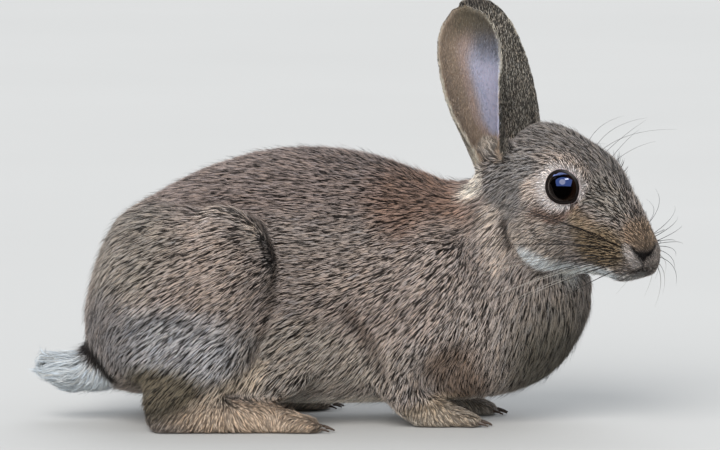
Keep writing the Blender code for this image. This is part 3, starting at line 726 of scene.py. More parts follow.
def paint_ear(name, skin, normals, tint, bare, ticking):
    """Hair outside, a cream rim, tan margins inside and bare skin in the hollow, with painted shade in
    places.
    """
    on_ear = skin.owner == name
    up, fore, facing = Ear(name).read(skin.outer[on_ear], normals[on_ear])
    inside = ramp(-0.15, 0.25, facing)
    colour = np.tile(linear(EAR_OUTSIDE), (on_ear.sum(), 1))

    def lay(hex_colour, weight):
        """One more colour over those that are there."""
        nonlocal colour
        colour = colour + (linear(hex_colour) - colour) * np.clip(weight, 0, 1)[:, None]

    lay(EAR_TIP_AND_SHADE, 0.75 * (1 - ramp(0.04, 0.12, np.abs(up - 0.99))))
    foot = ramp(0.08, 0.20, up) * (1 - ramp(0.22, 0.36, up))
    # painted shade outside the ear, at the foot of its front edge
    lay(EAR_TIP_AND_SHADE, 0.5 * (1 - inside) * ramp(0.2, 0.6, fore) * (1 - ramp(0.6, 0.85, fore)) * foot)
    lay(EAR_FRINGE, 0.5 * (1 - inside) * ramp(0.55, 0.9, fore) * (1 - ramp(0.3, 0.6, up)))
    lay(EAR_FRINGE, 0.8 * (1 - inside) * ramp(0.0, 0.6, -fore) * (1 - ramp(0.15, 0.4, up)))
    lay(EAR_TAN, inside)
    # The hollow runs to a point below, between the rear margin and the front one.
    hollow = inside * ramp(-0.55, 0.30, fore - 0.8 * (1 - ramp(0.0, 0.30, up)))
    hollow *= (1 - ramp(0.58, 0.95, up)) * ramp(0.10, 0.18, up)
    hollow *= 1 - ramp(-0.1, 0.25, fore - 0.15 - 1.3 * ramp(0.10, 0.55, up))
    lay(EAR_FLUSH, 0.9 * ramp(0.03, 0.35, hollow) * (1 - ramp(0.7, 0.95, fore)))
    lay(EAR_BARE, ramp(0.35, 0.95, hollow) * (1 - ramp(0.8, 1.0, fore)))
    lay(EAR_SHADE, 0.85 * inside * ramp(-0.05, 0.45, fore) * ramp(0.56, 0.76, up))
    # painted shade high up inside the ear
    lay(EAR_TOP_SHADE, 0.9 * inside * ramp(0.72, 0.88, up) * ramp(-0.7, -0.1, fore))
    rim = np.maximum(np.exp(-((facing / 0.42) ** 2)), ramp(0.86, 0.98, np.abs(fore)))
    rim = rim * ramp(0.12, 0.3, up + 0.25 * ramp(0.0, 0.4, -fore) - 0.25 * ramp(0.2, 0.6, fore))
    lay(EAR_RIM, rim * 0.9)
    tint[on_ear] = colour
    bare[on_ear] = np.clip(1.6 * hollow - 0.7, 0, 1) * (1 - rim) * (1 - ramp(0.70, 0.85, np.abs(fore)))
    ticking[on_ear] = np.clip(0.9 - inside * 0.72 - rim * 0.4, 0.1, 1)


def painted(skin, normals):
    """Coat colour, with painted shade and highlights in places, bareness and ticking at each point of the
    skin.
    """
    tint = np.tile(linear(COAT_BASE), (len(skin.points), 1))
    for space, shape, reach, colour, strength in MARKINGS:
        points = in_space(space, skin.outer)
        if len(shape) == 1:
            gap = np.linalg.norm((points - shape[0]) / reach, axis=1)
            weight = strength * (1 - ramp(0.62, 1.25, gap))
        else:
            weight = strength * (1 - ramp(0.5, 1.6, gap_to_line(points, shape) / reach))
        tint += (linear(colour) - tint) * weight[:, None]
    ticking = np.ones(len(skin.points))
    bare = np.zeros(len(skin.points))
    paint_tail(skin, tint, ticking)
    for name in EAR_OPENING:
        paint_ear(name, skin, normals, tint, bare, ticking)

    in_head = mirrored(into_head(skin.outer))
    pale = np.clip((tint.mean(1) - 0.22) / 0.25, 0, 1)
    ticking *= 1 - 0.55 * pale
    nose = 1 - ramp(8, 26, np.linalg.norm(in_head - NOSE_IN_HEAD, axis=1))
    ticking *= 1 - 0.5 * nose
    cheek = 1 - ramp(0.7, 1.3, np.linalg.norm((in_head - (22, -36, -2)) / (16, 34, 22), axis=1))
    ticking *= 1 - 0.35 * cheek
    ear_root = 1 - ramp(8, 14, np.linalg.norm(mirrored(skin.outer) - EAR_ROOT, axis=1))
    ticking *= 1 - 0.5 * ear_root
    feet = skin.spread(np.isin(skin.kinds, ("forepaw", "hindfoot")).astype(float), 6)
    ticking *= 1 - 0.6 * feet
    return tint, bare, ticking


def thinned(skin, bare):
    """How many blades grow on each square millimetre."""
    density = skin.fields["density"] * (1 - bare)
    for line, clear in ((NOSTRIL_RIGHT, 0.9), (NOSTRIL_LEFT, 0.9), (PHILTRUM, 0.6), (MOUTH, 0.7)):
        density *= ramp(clear * 0.6, clear * 1.3, gap_to_line(into_head(skin.points), line))
    for _, _, middle, axis, nose, crown in eye_frames():
        _, reach, angle, bearing = seen_from_eye(skin.points, middle, axis, nose, crown)
        past = angle - lid_opening(bearing)
        density *= np.where(reach < 14, ramp(8, 11, past), 1)
    under = (skin.points[:, 2] < 1.2) | ((skin.points[:, 2] < 9) & (np.abs(skin.points[:, 0]) < 14))
    return np.where(under, density * 0.35, density)


# ---- blades and locks ----------------------------------------------------------------------------------
def piece_names(skin):
    """The coat piece that each triangle of the skin belongs to."""
    corner = skin.triangles[:, 0]
    owner, kinds = skin.owner[corner], skin.kinds[corner]
    middle = skin.points[corner]
    side = np.where(middle[:, 0] < 0, "right", "left")
    head_side = np.where(into_head(middle)[:, 0] < 0, "right", "left")
    band = np.select([middle[:, 1] < -2, middle[:, 1] < 52], ["shoulder", "flank"], "rump")
    part = np.select(
        [kinds == "trunk", kinds == "hindleg", np.isin(kinds, ("foreleg", "forepaw")), kinds == "eye"],
        [band, "thigh", "foreleg", "head"], kinds,
    )
    side = np.where(part == "head", head_side, side)
    names = np.char.add(np.char.add(part, "_"), side)
    names[kinds == "tail"] = "tail"
    on_ear = kinds == "ear"
    names[on_ear] = owner[on_ear]
    return names


def unrolled(name, roots, normals):
    """Where each root lies on the piece's own surface, rolled out flat to a square."""
    part = name.split("_")[0]
    if part == "head":
        in_head = into_head(roots)
        across, along = np.arctan2(in_head[:, 2] - 2, np.abs(in_head[:, 0]) + 2), in_head[:, 1]
    elif part == "ear":
        up, fore, facing = Ear(name).read(roots, normals)
        across, along = np.clip(fore, -1.05, 1.05) + np.where(facing > 0, 2.4, 0), up
    elif part in ("shoulder", "flank", "rump", "neck"):
        across, along = np.arctan2(roots[:, 2] - 55, np.abs(roots[:, 0]) + 2), roots[:, 1]
    else:
        hub = (roots.min(0) + roots.max(0)) / 2
        if part == "foreleg":
            across, along = np.arctan2(roots[:, 1] - hub[1], roots[:, 0] - hub[0]), roots[:, 2]
        else:
            across, along = np.arctan2(roots[:, 2] - hub[2], roots[:, 0] - hub[0]), roots[:, 1]
    flat = np.column_stack((across, along))
    low, high = np.percentile(flat, 0.2, axis=0), np.percentile(flat, 99.8, axis=0)
    return np.clip(0.004 + 0.992 * (flat - low) / (high - low), 0.004, 0.996)


def scatter(skin, chosen, density, rng):
    """Roots spread over the chosen triangles by density: the triangle and place in it of each."""
    a, b, c = (skin.points[skin.triangles[chosen, corner]] for corner in range(3))
    area = 0.5 * np.linalg.norm(np.cross(b - a, c - a), axis=1)
    share = np.cumsum(area * density[skin.triangles[chosen]].mean(1))
    count = int(share[-1])
    picked = np.searchsorted(share, (np.arange(count) + rng.random(count)) * share[-1] / count)
    picked = np.minimum(picked, len(chosen) - 1)
    u, v = rng.random((2, count))
    flip = u + v > 1
    u[flip], v[flip] = 1 - u[flip], 1 - v[flip]
    return chosen[picked], np.column_stack((1 - u - v, u, v))


def blade_rows(name):
    """Lengths that a blade is made of: the loose hair of the tail bends most."""
    return 3 if name == "tail" else 2


def gather_locks(root, normal, way, rng, settings):
    """Neighbouring blades share a lock: which one, the way to its middle line, and how pale each lock is."""
    across = np.cross(normal, way)
    count = len(root)
    locks = max(8, int(count / settings.blades_in_lock))
    hearts = rng.choice(count, locks, replace=False)
    tree = finder(root[hearts])
    near = np.array([[found[1] for found in tree.find_n(point, 9)] for point in root.tolist()])
    gaps = root[hearts][near] - root[:, None]
    sideways, endways = (gaps * across[:, None]).sum(2), (gaps * way[:, None]).sum(2)
    best = np.argmin((sideways * settings.lock_slimness) ** 2 + endways**2, axis=1)
    each = np.arange(count)
    lock, to_middle = near[each, best], across * sideways[each, best][:, None]
    # Each lock's paleness is set against that of the locks round it, so that pale and dark take turns.
    paleness = rng.random(locks)
    beside = np.array([[found[1] for found in tree.find_n(point, 7)] for point in root[hearts].tolist()])
    paleness = paleness - 0.9 * paleness[beside[:, 1:]].mean(1)
    return lock, to_middle, np.argsort(np.argsort(paleness)) / locks


def grow(skin, name, chosen, rng, settings):
    """The blades of one coat piece, as points, triangles, flat places and paint."""
    triangle, share = scatter(skin, chosen, skin.density * settings.density, rng)
    corners = skin.triangles[triangle]

    def at_roots(values):
        """What the skin's points say, evened between the three round each root."""
        weights = share if values.ndim == 1 else share[..., None]
        return (values[corners] * weights).sum(1)

    root, normal, way = at_roots(skin.points), unit(at_roots(skin.skin_normals)), unit(at_roots(skin.way))
    count = len(root)
    tint, ticking = at_roots(skin.tint), at_roots(skin.ticking)
    length = at_roots(skin.fields["length"]) * settings.length
    depth, width = at_roots(skin.fields["depth"]), at_roots(skin.fields["width"])
    lock, to_middle, paleness = gather_locks(root, normal, way, rng, settings)
    locks = len(paleness)
    loose = np.where(skin.kinds[corners[:, 0]] == "tail", 1.0, 0.0)

    # Pale guard locks lie on top of dark and middling ones.
    lock_luck = np.clip(paleness[lock] + rng.normal(0, 0.10, count), 0, 1)
    guard = lock_luck > 1 - settings.guard_share
    luck = np.clip(0.10 + 0.75 * lock_luck + 0.30 * (rng.random(count) - 0.5), 0, 1)
    warm = settings.warmth * (rng.normal(0, 1, locks)[lock] + 0.6 * rng.normal(0, 1, count))[:, None]
    tint = tint * (1 + warm * (1.0, 0.1, -1.0))
    turn = rng.normal(0, 0.14, locks)[lock] + rng.normal(0, 0.06, count) + loose * rng.normal(0, 0.12, count)
    length = length * (0.84 + 0.32 * rng.random(locks)[lock]) * (0.88 + 0.24 * rng.random(count))
    layer = 0.50 + 0.50 * lock_luck + 0.12 * rng.random(count)
    stray = (rng.random(count) < settings.stray) & (loose < 0.5)
    layer = np.where(stray, 1.25 + 0.35 * rng.random(count), layer) + loose * 0.25 * rng.random(count)
    width = width * np.where(stray, 0.6, 0.75 + 0.5 * rng.random(count))
    roll = rng.normal(0, 0.40, count)[:, None]

    across = np.cross(normal, way)
    way = way * np.cos(turn)[:, None] + across * np.sin(turn)[:, None]
    flat = unrolled(name, root, normal)
    rows = blade_rows(name)
    swell = {2: (0.85, 1.0), 3: (0.75, 1.0, 0.80)}[rows]
    place = root - normal * ROOT_SINK
    points, flats, lays = [], [], []
    for row in range(rows + 1):
        t = row / rows
        if row:
            lean = BLADE_LEAN * (t * t - ((row - 1) / rows) ** 2)
            ahead = place + way * (length / rows)[:, None] + to_middle * lean
            near = np.array([skin.finder.find(point)[1] for point in ahead.tolist()])
            up = skin.skin_normals[near]
            height = depth * layer * (1 - (1 - t) ** 1.8)
            lift = height[:, None] - dot(ahead - skin.points[near], up)
            place = ahead + up * lift
            bent = 0.65 * way + 0.35 * skin.way[near]
            way, normal = unit(bent - up * dot(bent, up)), up
        side = unit(np.cross(way, normal))
        side = side * np.cos(roll) + normal * np.sin(roll)
        if row == rows:
            points.append(place[:, None])
            flats.append((flat + (0, PATCH / 2))[:, None])
            lays.append(np.column_stack((np.ones(count), np.full(count, 0.5), luck))[:, None])
        else:
            half = side * (width * swell[row] / 2)[:, None]
            points.append(np.stack((place - half, place + half), 1))
            up_patch = PATCH * t - PATCH / 2
            flats.append(np.stack((flat + (-PATCH / 2, up_patch), flat + (PATCH / 2, up_patch)), 1))
            along = np.where(guard, settings.guard_band + (1 - settings.guard_band) * t, t)
            lays.append(np.stack([np.column_stack((along, np.full(count, s), luck)) for s in (0, 1)], 1))
    points, flats, lays = (np.concatenate(block, 1) for block in (points, flats, lays))
    over = points[..., 2] - FLOOR_GAP
    points[..., 2] = np.where(over < 0, FLOOR_GAP + 0.02 * over, points[..., 2])
    size = 2 * rows + 1
    pattern = []
    for a in range(0, 2 * rows - 2, 2):
        pattern += [(a, a + 1, a + 3), (a, a + 3, a + 2)]
    pattern.append((size - 3, size - 2, size - 1))
    triangles = repeated(np.array(pattern), count, size)
    colours = np.repeat(np.column_stack((tint, ticking)), size, 0)
    return points.reshape(-1, 3), triangles, flats.reshape(-1, 2), lays.reshape(-1, 3), colours


# ---- materials -------------------------------------------------------------------------------------------
def fur_material(settings):
    """Banded rabbit hair, matt and dry: a slate root, a cream band and a dark tip give it its ticking."""
    material, tree = new_material("agouti_rabbit_hair")
    tint = add_node(tree, "ShaderNodeAttribute", {"attribute_name": "tint"})
    lay = add_node(tree, "ShaderNodeAttribute", {"attribute_name": "lay"})
    split = add_node(tree, "ShaderNodeSeparateXYZ", links={"Vector": lay.outputs["Vector"]})
    along, across, luck = (split.outputs[axis] for axis in "XYZ")
    shift = add_node(tree, "ShaderNodeMath", {"operation": "MULTIPLY_ADD", 1: 0.50, 2: -0.48}, {0: luck})
    place = add_node(tree, "ShaderNodeMath", {"operation": "ADD"}, {0: along, 1: shift.outputs[0]})
    bands = add_node(tree, "ShaderNodeValToRGB", links={"Fac": place.outputs[0]})
    stops = ((0.0, 0.0), (0.40, 0.05), (0.62, 0.12), (0.72, 0.90), (0.90, 1.0), (1.0, 0.05))
    set_stops(bands, [(at, (value, value, value, 1)) for at, value in stops])
    dark = add_node(
        tree, "ShaderNodeMix",
        {"data_type": "RGBA", "blend_type": "MULTIPLY", "Factor": 1.0, 7: colour4("#3c342f")},
        {6: tint.outputs["Color"]},
    )
    pale = add_node(
        tree, "ShaderNodeVectorMath", {"operation": "SCALE", "Scale": settings.pale_band},
        {0: tint.outputs["Color"]},
    )
    ticked = add_node(
        tree, "ShaderNodeMix", {"data_type": "RGBA"},
        {0: bands.outputs["Color"], 6: dark.outputs[2], 7: pale.outputs[0]},
    )
    plain = add_node(
        tree, "ShaderNodeVectorMath", {"operation": "SCALE", "Scale": 1.12}, {0: tint.outputs["Color"]}
    )
    coat = add_node(
        tree, "ShaderNodeMix", {"data_type": "RGBA"},
        {0: tint.outputs["Alpha"], 6: plain.outputs[0], 7: ticked.outputs[2]},
    )
    # Hairs 0.15 mm apart run down each blade; the bump parts them, and painted shade darkens the colour a
    # little between them.
    strands = add_node(tree, "ShaderNodeMath", {"operation": "MULTIPLY", 1: 20.0}, {0: across})
    wave = add_node(tree, "ShaderNodeMath", {"operation": "SINE"}, {0: strands.outputs[0]})
    relief = add_node(
        tree, "ShaderNodeBump", {"Strength": 0.35, "Distance": 0.0001}, {"Height": wave.outputs[0]}
    )
    shade = add_node(
        tree, "ShaderNodeMath", {"operation": "MULTIPLY_ADD", 1: 0.10, 2: 0.95}, {0: wave.outputs[0]}
    )
    final = add_node(
        tree, "ShaderNodeVectorMath", {"operation": "SCALE"}, {0: coat.outputs[2], "Scale": shade.outputs[0]}
    )
    hair = add_node(
        tree, "ShaderNodeBsdfPrincipled",
        {"Roughness": 0.6, "Specular IOR Level": 0.3, "Sheen Weight": 0.10, "Sheen Roughness": 0.45},
        {"Base Color": final.outputs[0], "Normal": relief.outputs[0]},
    )
    add_node(tree, "ShaderNodeOutputMaterial", links={"Surface": hair.outputs[0]})
    return material


def skin_material():
    """Skin under the coat: dark between the hair roots, and bare, thin and faintly veined inside the ears."""
    material, tree = new_material("rabbit_skin")
    tint = add_node(tree, "ShaderNodeAttribute", {"attribute_name": "tint"})
    bare = add_node(tree, "ShaderNodeAttribute", {"attribute_name": "bare"})
    where = add_node(tree, "ShaderNodeTexCoord")
    # Fine grain about 0.8 mm apart, and veins some 9 mm apart that show only on the bare skin.
    grain = add_node(
        tree, "ShaderNodeTexNoise", {"Scale": 1250.0, "Detail": 3.0, "Roughness": 0.6},
        {"Vector": where.outputs["Object"]},
    )
    veins = add_node(
        tree, "ShaderNodeTexNoise", {"Scale": 110.0, "Detail": 4.0, "Distortion": 1.2},
        {"Vector": where.outputs["Object"]},
    )
    flush = add_node(
        tree, "ShaderNodeMix", {"data_type": "RGBA", 6: colour4("#c6b9cb"), 7: colour4("#e9d3cf")},
        {0: veins.outputs["Fac"]},
    )
    warm = add_node(
        tree, "ShaderNodeMix", {"data_type": "RGBA", "blend_type": "MULTIPLY", "Factor": 0.55},
        {6: tint.outputs["Color"], 7: flush.outputs[2]},
    )
    base = add_node(
        tree, "ShaderNodeMix", {"data_type": "RGBA"},
        {0: bare.outputs["Fac"], 6: tint.outputs["Color"], 7: warm.outputs[2]},
    )
    relief = add_node(
        tree, "ShaderNodeBump", {"Strength": 0.3, "Distance": 0.0002}, {"Height": grain.outputs["Fac"]}
    )
    skin = add_node(
        tree, "ShaderNodeBsdfPrincipled",
        {
            "Roughness": 0.58, "Specular IOR Level": 0.3, "Subsurface Weight": 0.12,
            "Subsurface Scale": 0.0012, "Subsurface Radius": (1.0, 0.45, 0.3),
        },
        {"Base Color": base.outputs[2], "Normal": relief.outputs[0]},
    )
    add_node(tree, "ShaderNodeOutputMaterial", links={"Surface": skin.outputs[0]})
    return material


def lid_material():
    """Bare lid margin: dark, finely wrinkled and slightly moist, so that it outlines the eye."""
    material, tree = new_material("bare_lid_margin")
    where = add_node(tree, "ShaderNodeTexCoord")
    wrinkles = add_node(
        tree, "ShaderNodeTexNoise", {"Scale": 1600.0, "Detail": 3.0}, {"Vector": where.outputs["Object"]}
    )
    colour = add_node(
        tree, "ShaderNodeMix", {"data_type": "RGBA", 6: colour4("#0e0b0a"), 7: colour4("#211a18")},
        {0: wrinkles.outputs["Fac"]},
    )
    relief = add_node(
        tree, "ShaderNodeBump", {"Strength": 0.4, "Distance": 0.00015}, {"Height": wrinkles.outputs["Fac"]}
    )
    lid = add_node(
        tree, "ShaderNodeBsdfPrincipled", {"Roughness": 0.38, "Specular IOR Level": 0.4},
        {"Base Color": colour.outputs[2], "Normal": relief.outputs[0]},
    )
    add_node(tree, "ShaderNodeOutputMaterial", links={"Surface": lid.outputs[0]})
    return material


def eye_material():
    """Wet cornea over a brown-black iris: a mirror-smooth clear coat that carries a small bright window."""
    material, tree = new_material("wet_dark_eye")
    ring = add_node(tree, "ShaderNodeAttribute", {"attribute_name": "from_axis"})
    iris = add_node(tree, "ShaderNodeValToRGB", links={"Fac": ring.outputs["Fac"]})
    stops = ((0.0, "#030303"), (0.42, "#040303"), (0.50, "#1a0f0a"), (0.72, "#22150e"), (0.86, "#0a0706"))
    set_stops(iris, [(at, colour4(colour)) for at, colour in stops])
    where = add_node(tree, "ShaderNodeTexCoord")
    fibres = add_node(
        tree, "ShaderNodeTexNoise", {"Scale": 900.0, "Detail": 2.0}, {"Vector": where.outputs["Object"]}
    )
    streaks = add_node(
        tree, "ShaderNodeMix", {"data_type": "RGBA", "blend_type": "MULTIPLY", "Factor": 0.5},
        {6: iris.outputs["Color"], 7: fibres.outputs["Color"]},
    )
    eye = add_node(
        tree, "ShaderNodeBsdfPrincipled",
        {
            "Roughness": 0.5, "Specular IOR Level": 0.0,
            "Coat Weight": 1.0, "Coat Roughness": 0.03, "Coat IOR": 1.376,
        },
        {"Base Color": streaks.outputs[2]},
    )
    add_node(tree, "ShaderNodeOutputMaterial", links={"Surface": eye.outputs[0]})
    return material


def claw_material():
    """Keratin claw, grown in layers: dark brown horn with a satin face, a little paler in places."""
    material, tree = new_material("claw_keratin")
    where = add_node(tree, "ShaderNodeTexCoord")
    layers = add_node(
        tree, "ShaderNodeTexNoise", {"Scale": 1400.0, "Detail": 3.0, "Distortion": 0.6},
        {"Vector": where.outputs["Object"]},
    )
    colour = add_node(
        tree, "ShaderNodeMix", {"data_type": "RGBA", 6: colour4("#2b211b"), 7: colour4("#5e4c3e")},
        {0: layers.outputs["Fac"]},
    )
    relief = add_node(
        tree, "ShaderNodeBump", {"Strength": 0.25, "Distance": 0.0001}, {"Height": layers.outputs["Fac"]}
    )
    claw = add_node(
        tree, "ShaderNodeBsdfPrincipled", {"Roughness": 0.4, "Specular IOR Level": 0.5, "IOR": 1.55},
        {"Base Color": colour.outputs[2], "Normal": relief.outputs[0]},
    )
    add_node(tree, "ShaderNodeOutputMaterial", links={"Surface": claw.outputs[0]})
    return material


def whisker_material():
    """Stiff black whisker keratin, round and smooth, so that each one carries a thin line of light."""
    material, tree = new_material("whisker_keratin")
    shade = add_node(tree, "ShaderNodeAttribute", {"attribute_name": "shade"})
    colour = add_node(
        tree, "ShaderNodeMix", {"data_type": "RGBA", 6: colour4("#15110f"), 7: colour4("#b8b2a8")},
        {0: shade.outputs["Fac"]},
    )
    whisker = add_node(
        tree, "ShaderNodeBsdfPrincipled", {"Roughness": 0.35, "Specular IOR Level": 0.5},
        {"Base Color": colour.outputs[2]},
    )
    add_node(tree, "ShaderNodeOutputMaterial", links={"Surface": whisker.outputs[0]})
    return material


def floor_material():
    """Matt painted studio floor, faintly uneven, so that it takes a soft shadow and no gloss."""
    material, tree = new_material("matt_studio_paint")
    where = add_node(tree, "ShaderNodeTexCoord")
    uneven = add_node(
        tree, "ShaderNodeTexNoise", {"Scale": 3.0, "Detail": 4.0}, {"Vector": where.outputs["Object"]}
    )
    colour = add_node(
        tree, "ShaderNodeMix", {"data_type": "RGBA", 6: colour4("#bfbfbc"), 7: colour4("#c4c4c1")},
        {0: uneven.outputs["Fac"]},
    )
    floor = add_node(
        tree, "ShaderNodeBsdfPrincipled", {"Roughness": 0.9, "Specular IOR Level": 0.1},
        {"Base Color": colour.outputs[2]},
    )
    add_node(tree, "ShaderNodeOutputMaterial", links={"Surface": floor.outputs[0]})
    return material


# ---- pieces --------------------------------------------------------------------------------------------
def band_triangles(bands, columns):
    """The triangles that join rings of points, laid down one after the other, into bands."""
    triangles = []
    for band in range(bands):
        for i in range(columns):
            a, b = band * columns + i, band * columns + (i + 1) % columns
            triangles += [(a, b, a + columns), (b, b + columns, a + columns)]
    return np.array(triangles)


def lid_rings():
    """Both lids as rings of points round the eyes, with their triangles."""
    # Degrees past the opening, and height over the eyeball in mm, from the wet edge outwards.
    profile = ((-2.0, -0.15), (0.4, 0.25), (2.6, 0.60), (5.6, 0.82), (9.5, 0.86), (14.5, 0.70), (21.0, 0.20))
    columns = 72
    points, triangles = [], []
    bearing = np.linspace(0, 2 * math.pi, columns, endpoint=False)
    for side, _, middle, axis, nose, crown in eye_frames():
        start = len(points) * columns
        around = np.cos(bearing)[:, None] * nose + np.sin(bearing)[:, None] * crown
        opening = lid_opening(bearing)
        for past, height in profile:
            angle = np.radians(opening + past)[:, None]
            points.append(on_globe(middle, axis, around, angle, EYE_RADIUS + height))
        bands = band_triangles(len(profile) - 1, columns) + start
        triangles.append(bands[:, [0, 2, 1]] if side < 0 else bands)
    return np.concatenate(points), np.concatenate(triangles), len(profile), columns


def skin_mesh(skin):
    """The skin and both lids as one mesh. Between the hair roots the skin is darker than the coat."""
    lids, lid_triangles, lid_rows, columns = lid_rings()
    points = np.concatenate((skin.points, lids))
    triangles = np.concatenate((skin.triangles, lid_triangles + len(skin.points)))
    mesh = triangle_mesh("skin", points, triangles)
    lid_tint = np.tile(linear(LID_SKIN), (len(lids), 1))
    shade = np.where(skin.kinds == "ear", 0.85, 0.42) * (1 - skin.bare) + skin.bare
    tint = np.concatenate((skin.tint * shade[:, None], lid_tint))
    paint(mesh, "tint", "FLOAT_COLOR", np.column_stack((tint, np.ones(len(tint)))))
    paint(mesh, "bare", "FLOAT", np.concatenate((skin.bare, np.ones(len(lids)))))
    mesh.materials.append(skin_material())
    mesh.materials.append(lid_material())
    slots = np.zeros(len(triangles), np.int32)
    lid_row = np.arange(len(lid_triangles)) // (columns * 2) % (lid_rows - 1)
    slots[len(skin.triangles):][lid_row < LID_DARK_ROWS] = 1
    mesh.polygons.foreach_set("material_index", slots)
    return mesh


def eyeball(name, middle, axis, nose, crown):
    """A globe with a slightly steeper cornea over its front."""
    rings, columns = 40, 64
    bearing = np.linspace(0, 2 * math.pi, columns, endpoint=False)
    around = np.cos(bearing)[:, None] * nose + np.sin(bearing)[:, None] * crown
    points, from_axis = [], []
    for ring in range(rings + 1):
        angle = math.radians(0.2 + 130 * ring / rings)
        bulge = 0.55 * math.exp(-((angle / math.radians(44)) ** 4))
        points.append(on_globe(middle, axis, around, angle, EYE_RADIUS + bulge - 0.12))
        from_axis.append(np.full(columns, math.degrees(angle) / 90))
    triangles = band_triangles(rings, columns)
    points = np.concatenate(points)
    first = points[triangles[0]]
    if np.cross(first[1] - first[0], first[2] - first[0]) @ axis < 0:
        triangles = triangles[:, ::-1]
    mesh = triangle_mesh(name, points, triangles)
    paint(mesh, "from_axis", "FLOAT", np.clip(np.concatenate(from_axis), 0, 1))
    return mesh


def hair_tubes(roots, ways, bends, lengths, radii):
    """Thin tapered hairs: each sets off one way and bends by another over its length."""
    count, steps, sides = len(roots), TUBE_STEPS, TUBE_SIDES
    points = []
    for step in range(steps + 1):
        t = step / steps
        place = roots + (ways * t + bends * t * t) * lengths[:, None]
        along = unit(ways + bends * 2 * t)
        across = unit(np.cross(along, (0.13, 0.21, 1.0)))
        other = np.cross(along, across)
        taper = (radii * (1 - t) ** 0.7 + 0.012)[:, None]
        turns = [2 * math.pi * k / sides for k in range(sides)]
        ring = [place + (across * math.cos(turn) + other * math.sin(turn)) * taper for turn in turns]
        points.append(np.stack(ring, 1))
    points = np.concatenate(points, 1)
    size = (steps + 1) * sides
    return points.reshape(-1, 3), repeated(band_triangles(steps, sides), count, size), size


class Hairs:
    """Single hairs in the making: root, way, bend, length, half thickness and paleness of each, in mm."""

    def __init__(self, skin):
        self.skin = skin
        self.made = []

    def add(self, root, way, bend, length, radius, shade=0.0):
        self.made.append((root, way, bend, length, radius, shade))

    def add_on_head(self, root, way, bend, length, radius, shade=0.0):
        """Adds a hair told by the head's own axes, rooted in the skin that is nearest to it."""
        near = self.skin.finder.find(out_of_head(root).tolist())[1]
        way, bend = HEAD_AXES @ unit(np.array(way)), HEAD_AXES @ np.array(bend)
        self.add(self.skin.points[near], way, bend, length, radius, shade)

    def tubes(self):
        """Points, triangles and paleness of all of them; each is pale only towards its tip."""
        roots, ways, bends, lengths, radii, shades = (np.array(block) for block in zip(*self.made))
        # The long ones are cut where they would reach far past the widest part of the body.
        outward = np.abs(roots[:, 0])
        span = np.abs(roots + (ways + bends) * lengths[:, None])[:, 0]
        share = (WHISKER_REACH - outward) / np.maximum(span - outward, 1)
        lengths *= np.where(span > WHISKER_REACH, share, 1)
        points, triangles, size = hair_tubes(roots, ways, bends, lengths, radii)
        along = np.tile(np.repeat(np.linspace(0, 1, TUBE_STEPS + 1), TUBE_SIDES), len(shades))
        return points, triangles, np.repeat(shades, size) * ramp(0.25, 0.6, along)


def set_whiskers(hairs, side, settings, rng):
    """The long whiskers of one side, in five rows on the pad beside the nose."""
    longest, thickest = settings.whisker_length / MM, settings.whisker_radius / MM
    longer, thicker = (1.2, 1.4) if side < 0 else (1, 1)  # the right side's are the stronger ones
    out, back = (1.0, -0.28) if side > 0 else (0.85, 0.45)
    for i in range(settings.whiskers):
        row, column = i % 5, i // 5
        ahead = -76 + 3.1 * column + rng.normal(0, 0.5)
        root = (side * 13, ahead, 4.0 - 2.5 * row + rng.normal(0, 0.3))
        aft = back + 0.16 * column + rng.normal(0, 0.06)
        way = (side * out, aft, 0.30 - 0.20 * row + rng.normal(0, 0.08))
        bend = (side * -0.15, 0.30, -0.20 - 0.06 * row)
        length = longest * (0.62 + 0.10 * column) * (0.8 + 0.3 * rng.random()) * longer
        pale = 0.85 if row > 2 and rng.random() < 0.6 else 0.0
        radius = thickest * (0.85 + 0.3 * rng.random()) * thicker
        hairs.add_on_head(root, way, bend, length, radius, pale)


def set_feelers(hairs, side, thickest, rng):
    """The few long hairs of one side above the eye and on the cheek."""
    for i in range(6):
        root = (side * (11.5 + rng.normal(0, 0.8)), -27 - 3.6 * i, 31)
        way = (side * rng.uniform(0.1, 0.6), rng.uniform(-0.7, 0.25), 1)
        bend = (side * 0.1, rng.uniform(-0.5, 0.1), -0.2)
        hairs.add_on_head(root, way, bend, 20 + 12 * rng.random(), thickest * 0.6)
    for i in range(3):
        root, way, bend = (side * 21, -44 - 4 * i, 5), (side, 0.3, 0.1), (0, 0.5, -0.3)
        hairs.add_on_head(root, way, bend, 20 + 6 * rng.random(), thickest * 0.7)


def set_lashes(hairs, middle, axis, nose, crown, rng):
    """The lashes of one eye: long ones along the upper lid, short ones along the lower."""
    for i in range(34):
        upper = i < 26
        bearing = rng.uniform(0.15, 2.9) if upper else rng.uniform(-2.4, -0.4)
        around = math.cos(bearing) * nose + math.sin(bearing) * crown
        angle = math.radians(float(lid_opening(np.array(bearing))) + 4)
        root = on_globe(middle, axis, around, angle, EYE_RADIUS + 0.7)
        way, bend = unit(around * 0.9 + axis * 0.5 - nose * 0.5), around * -0.1 - nose * 0.3 + axis * 0.1
        hairs.add(root, way, bend, 2.6 + 2.2 * rng.random() if upper else 1.6, 0.09)


# ---- the stage ---------------------------------------------------------------------------------------
HEART = (0, -0.05, 0.09)  # where the lights are turned to, in metres
AIM = (0, -0.0058, 0.0887)  # where the camera looks


def lay_floor(scene):
    """A wide pale floor, a hair's breadth below the paws."""
    mesh = bpy.data.meshes.new("floor")
    half = 12.0
    corners = [(-half, -half, 0), (half, -half, 0), (half, half, 0), (-half, half, 0)]
    mesh.from_pydata(corners, [], [(0, 1, 2, 3)])
    floor = bpy.data.objects.new("floor", mesh)
    floor.location.z = -0.1 * MM
    scene.collection.objects.link(floor)
    mesh.materials.append(floor_material())
    floor.visible_glossy = False  # wet eyes reflect the dark ground below, not the pale floor


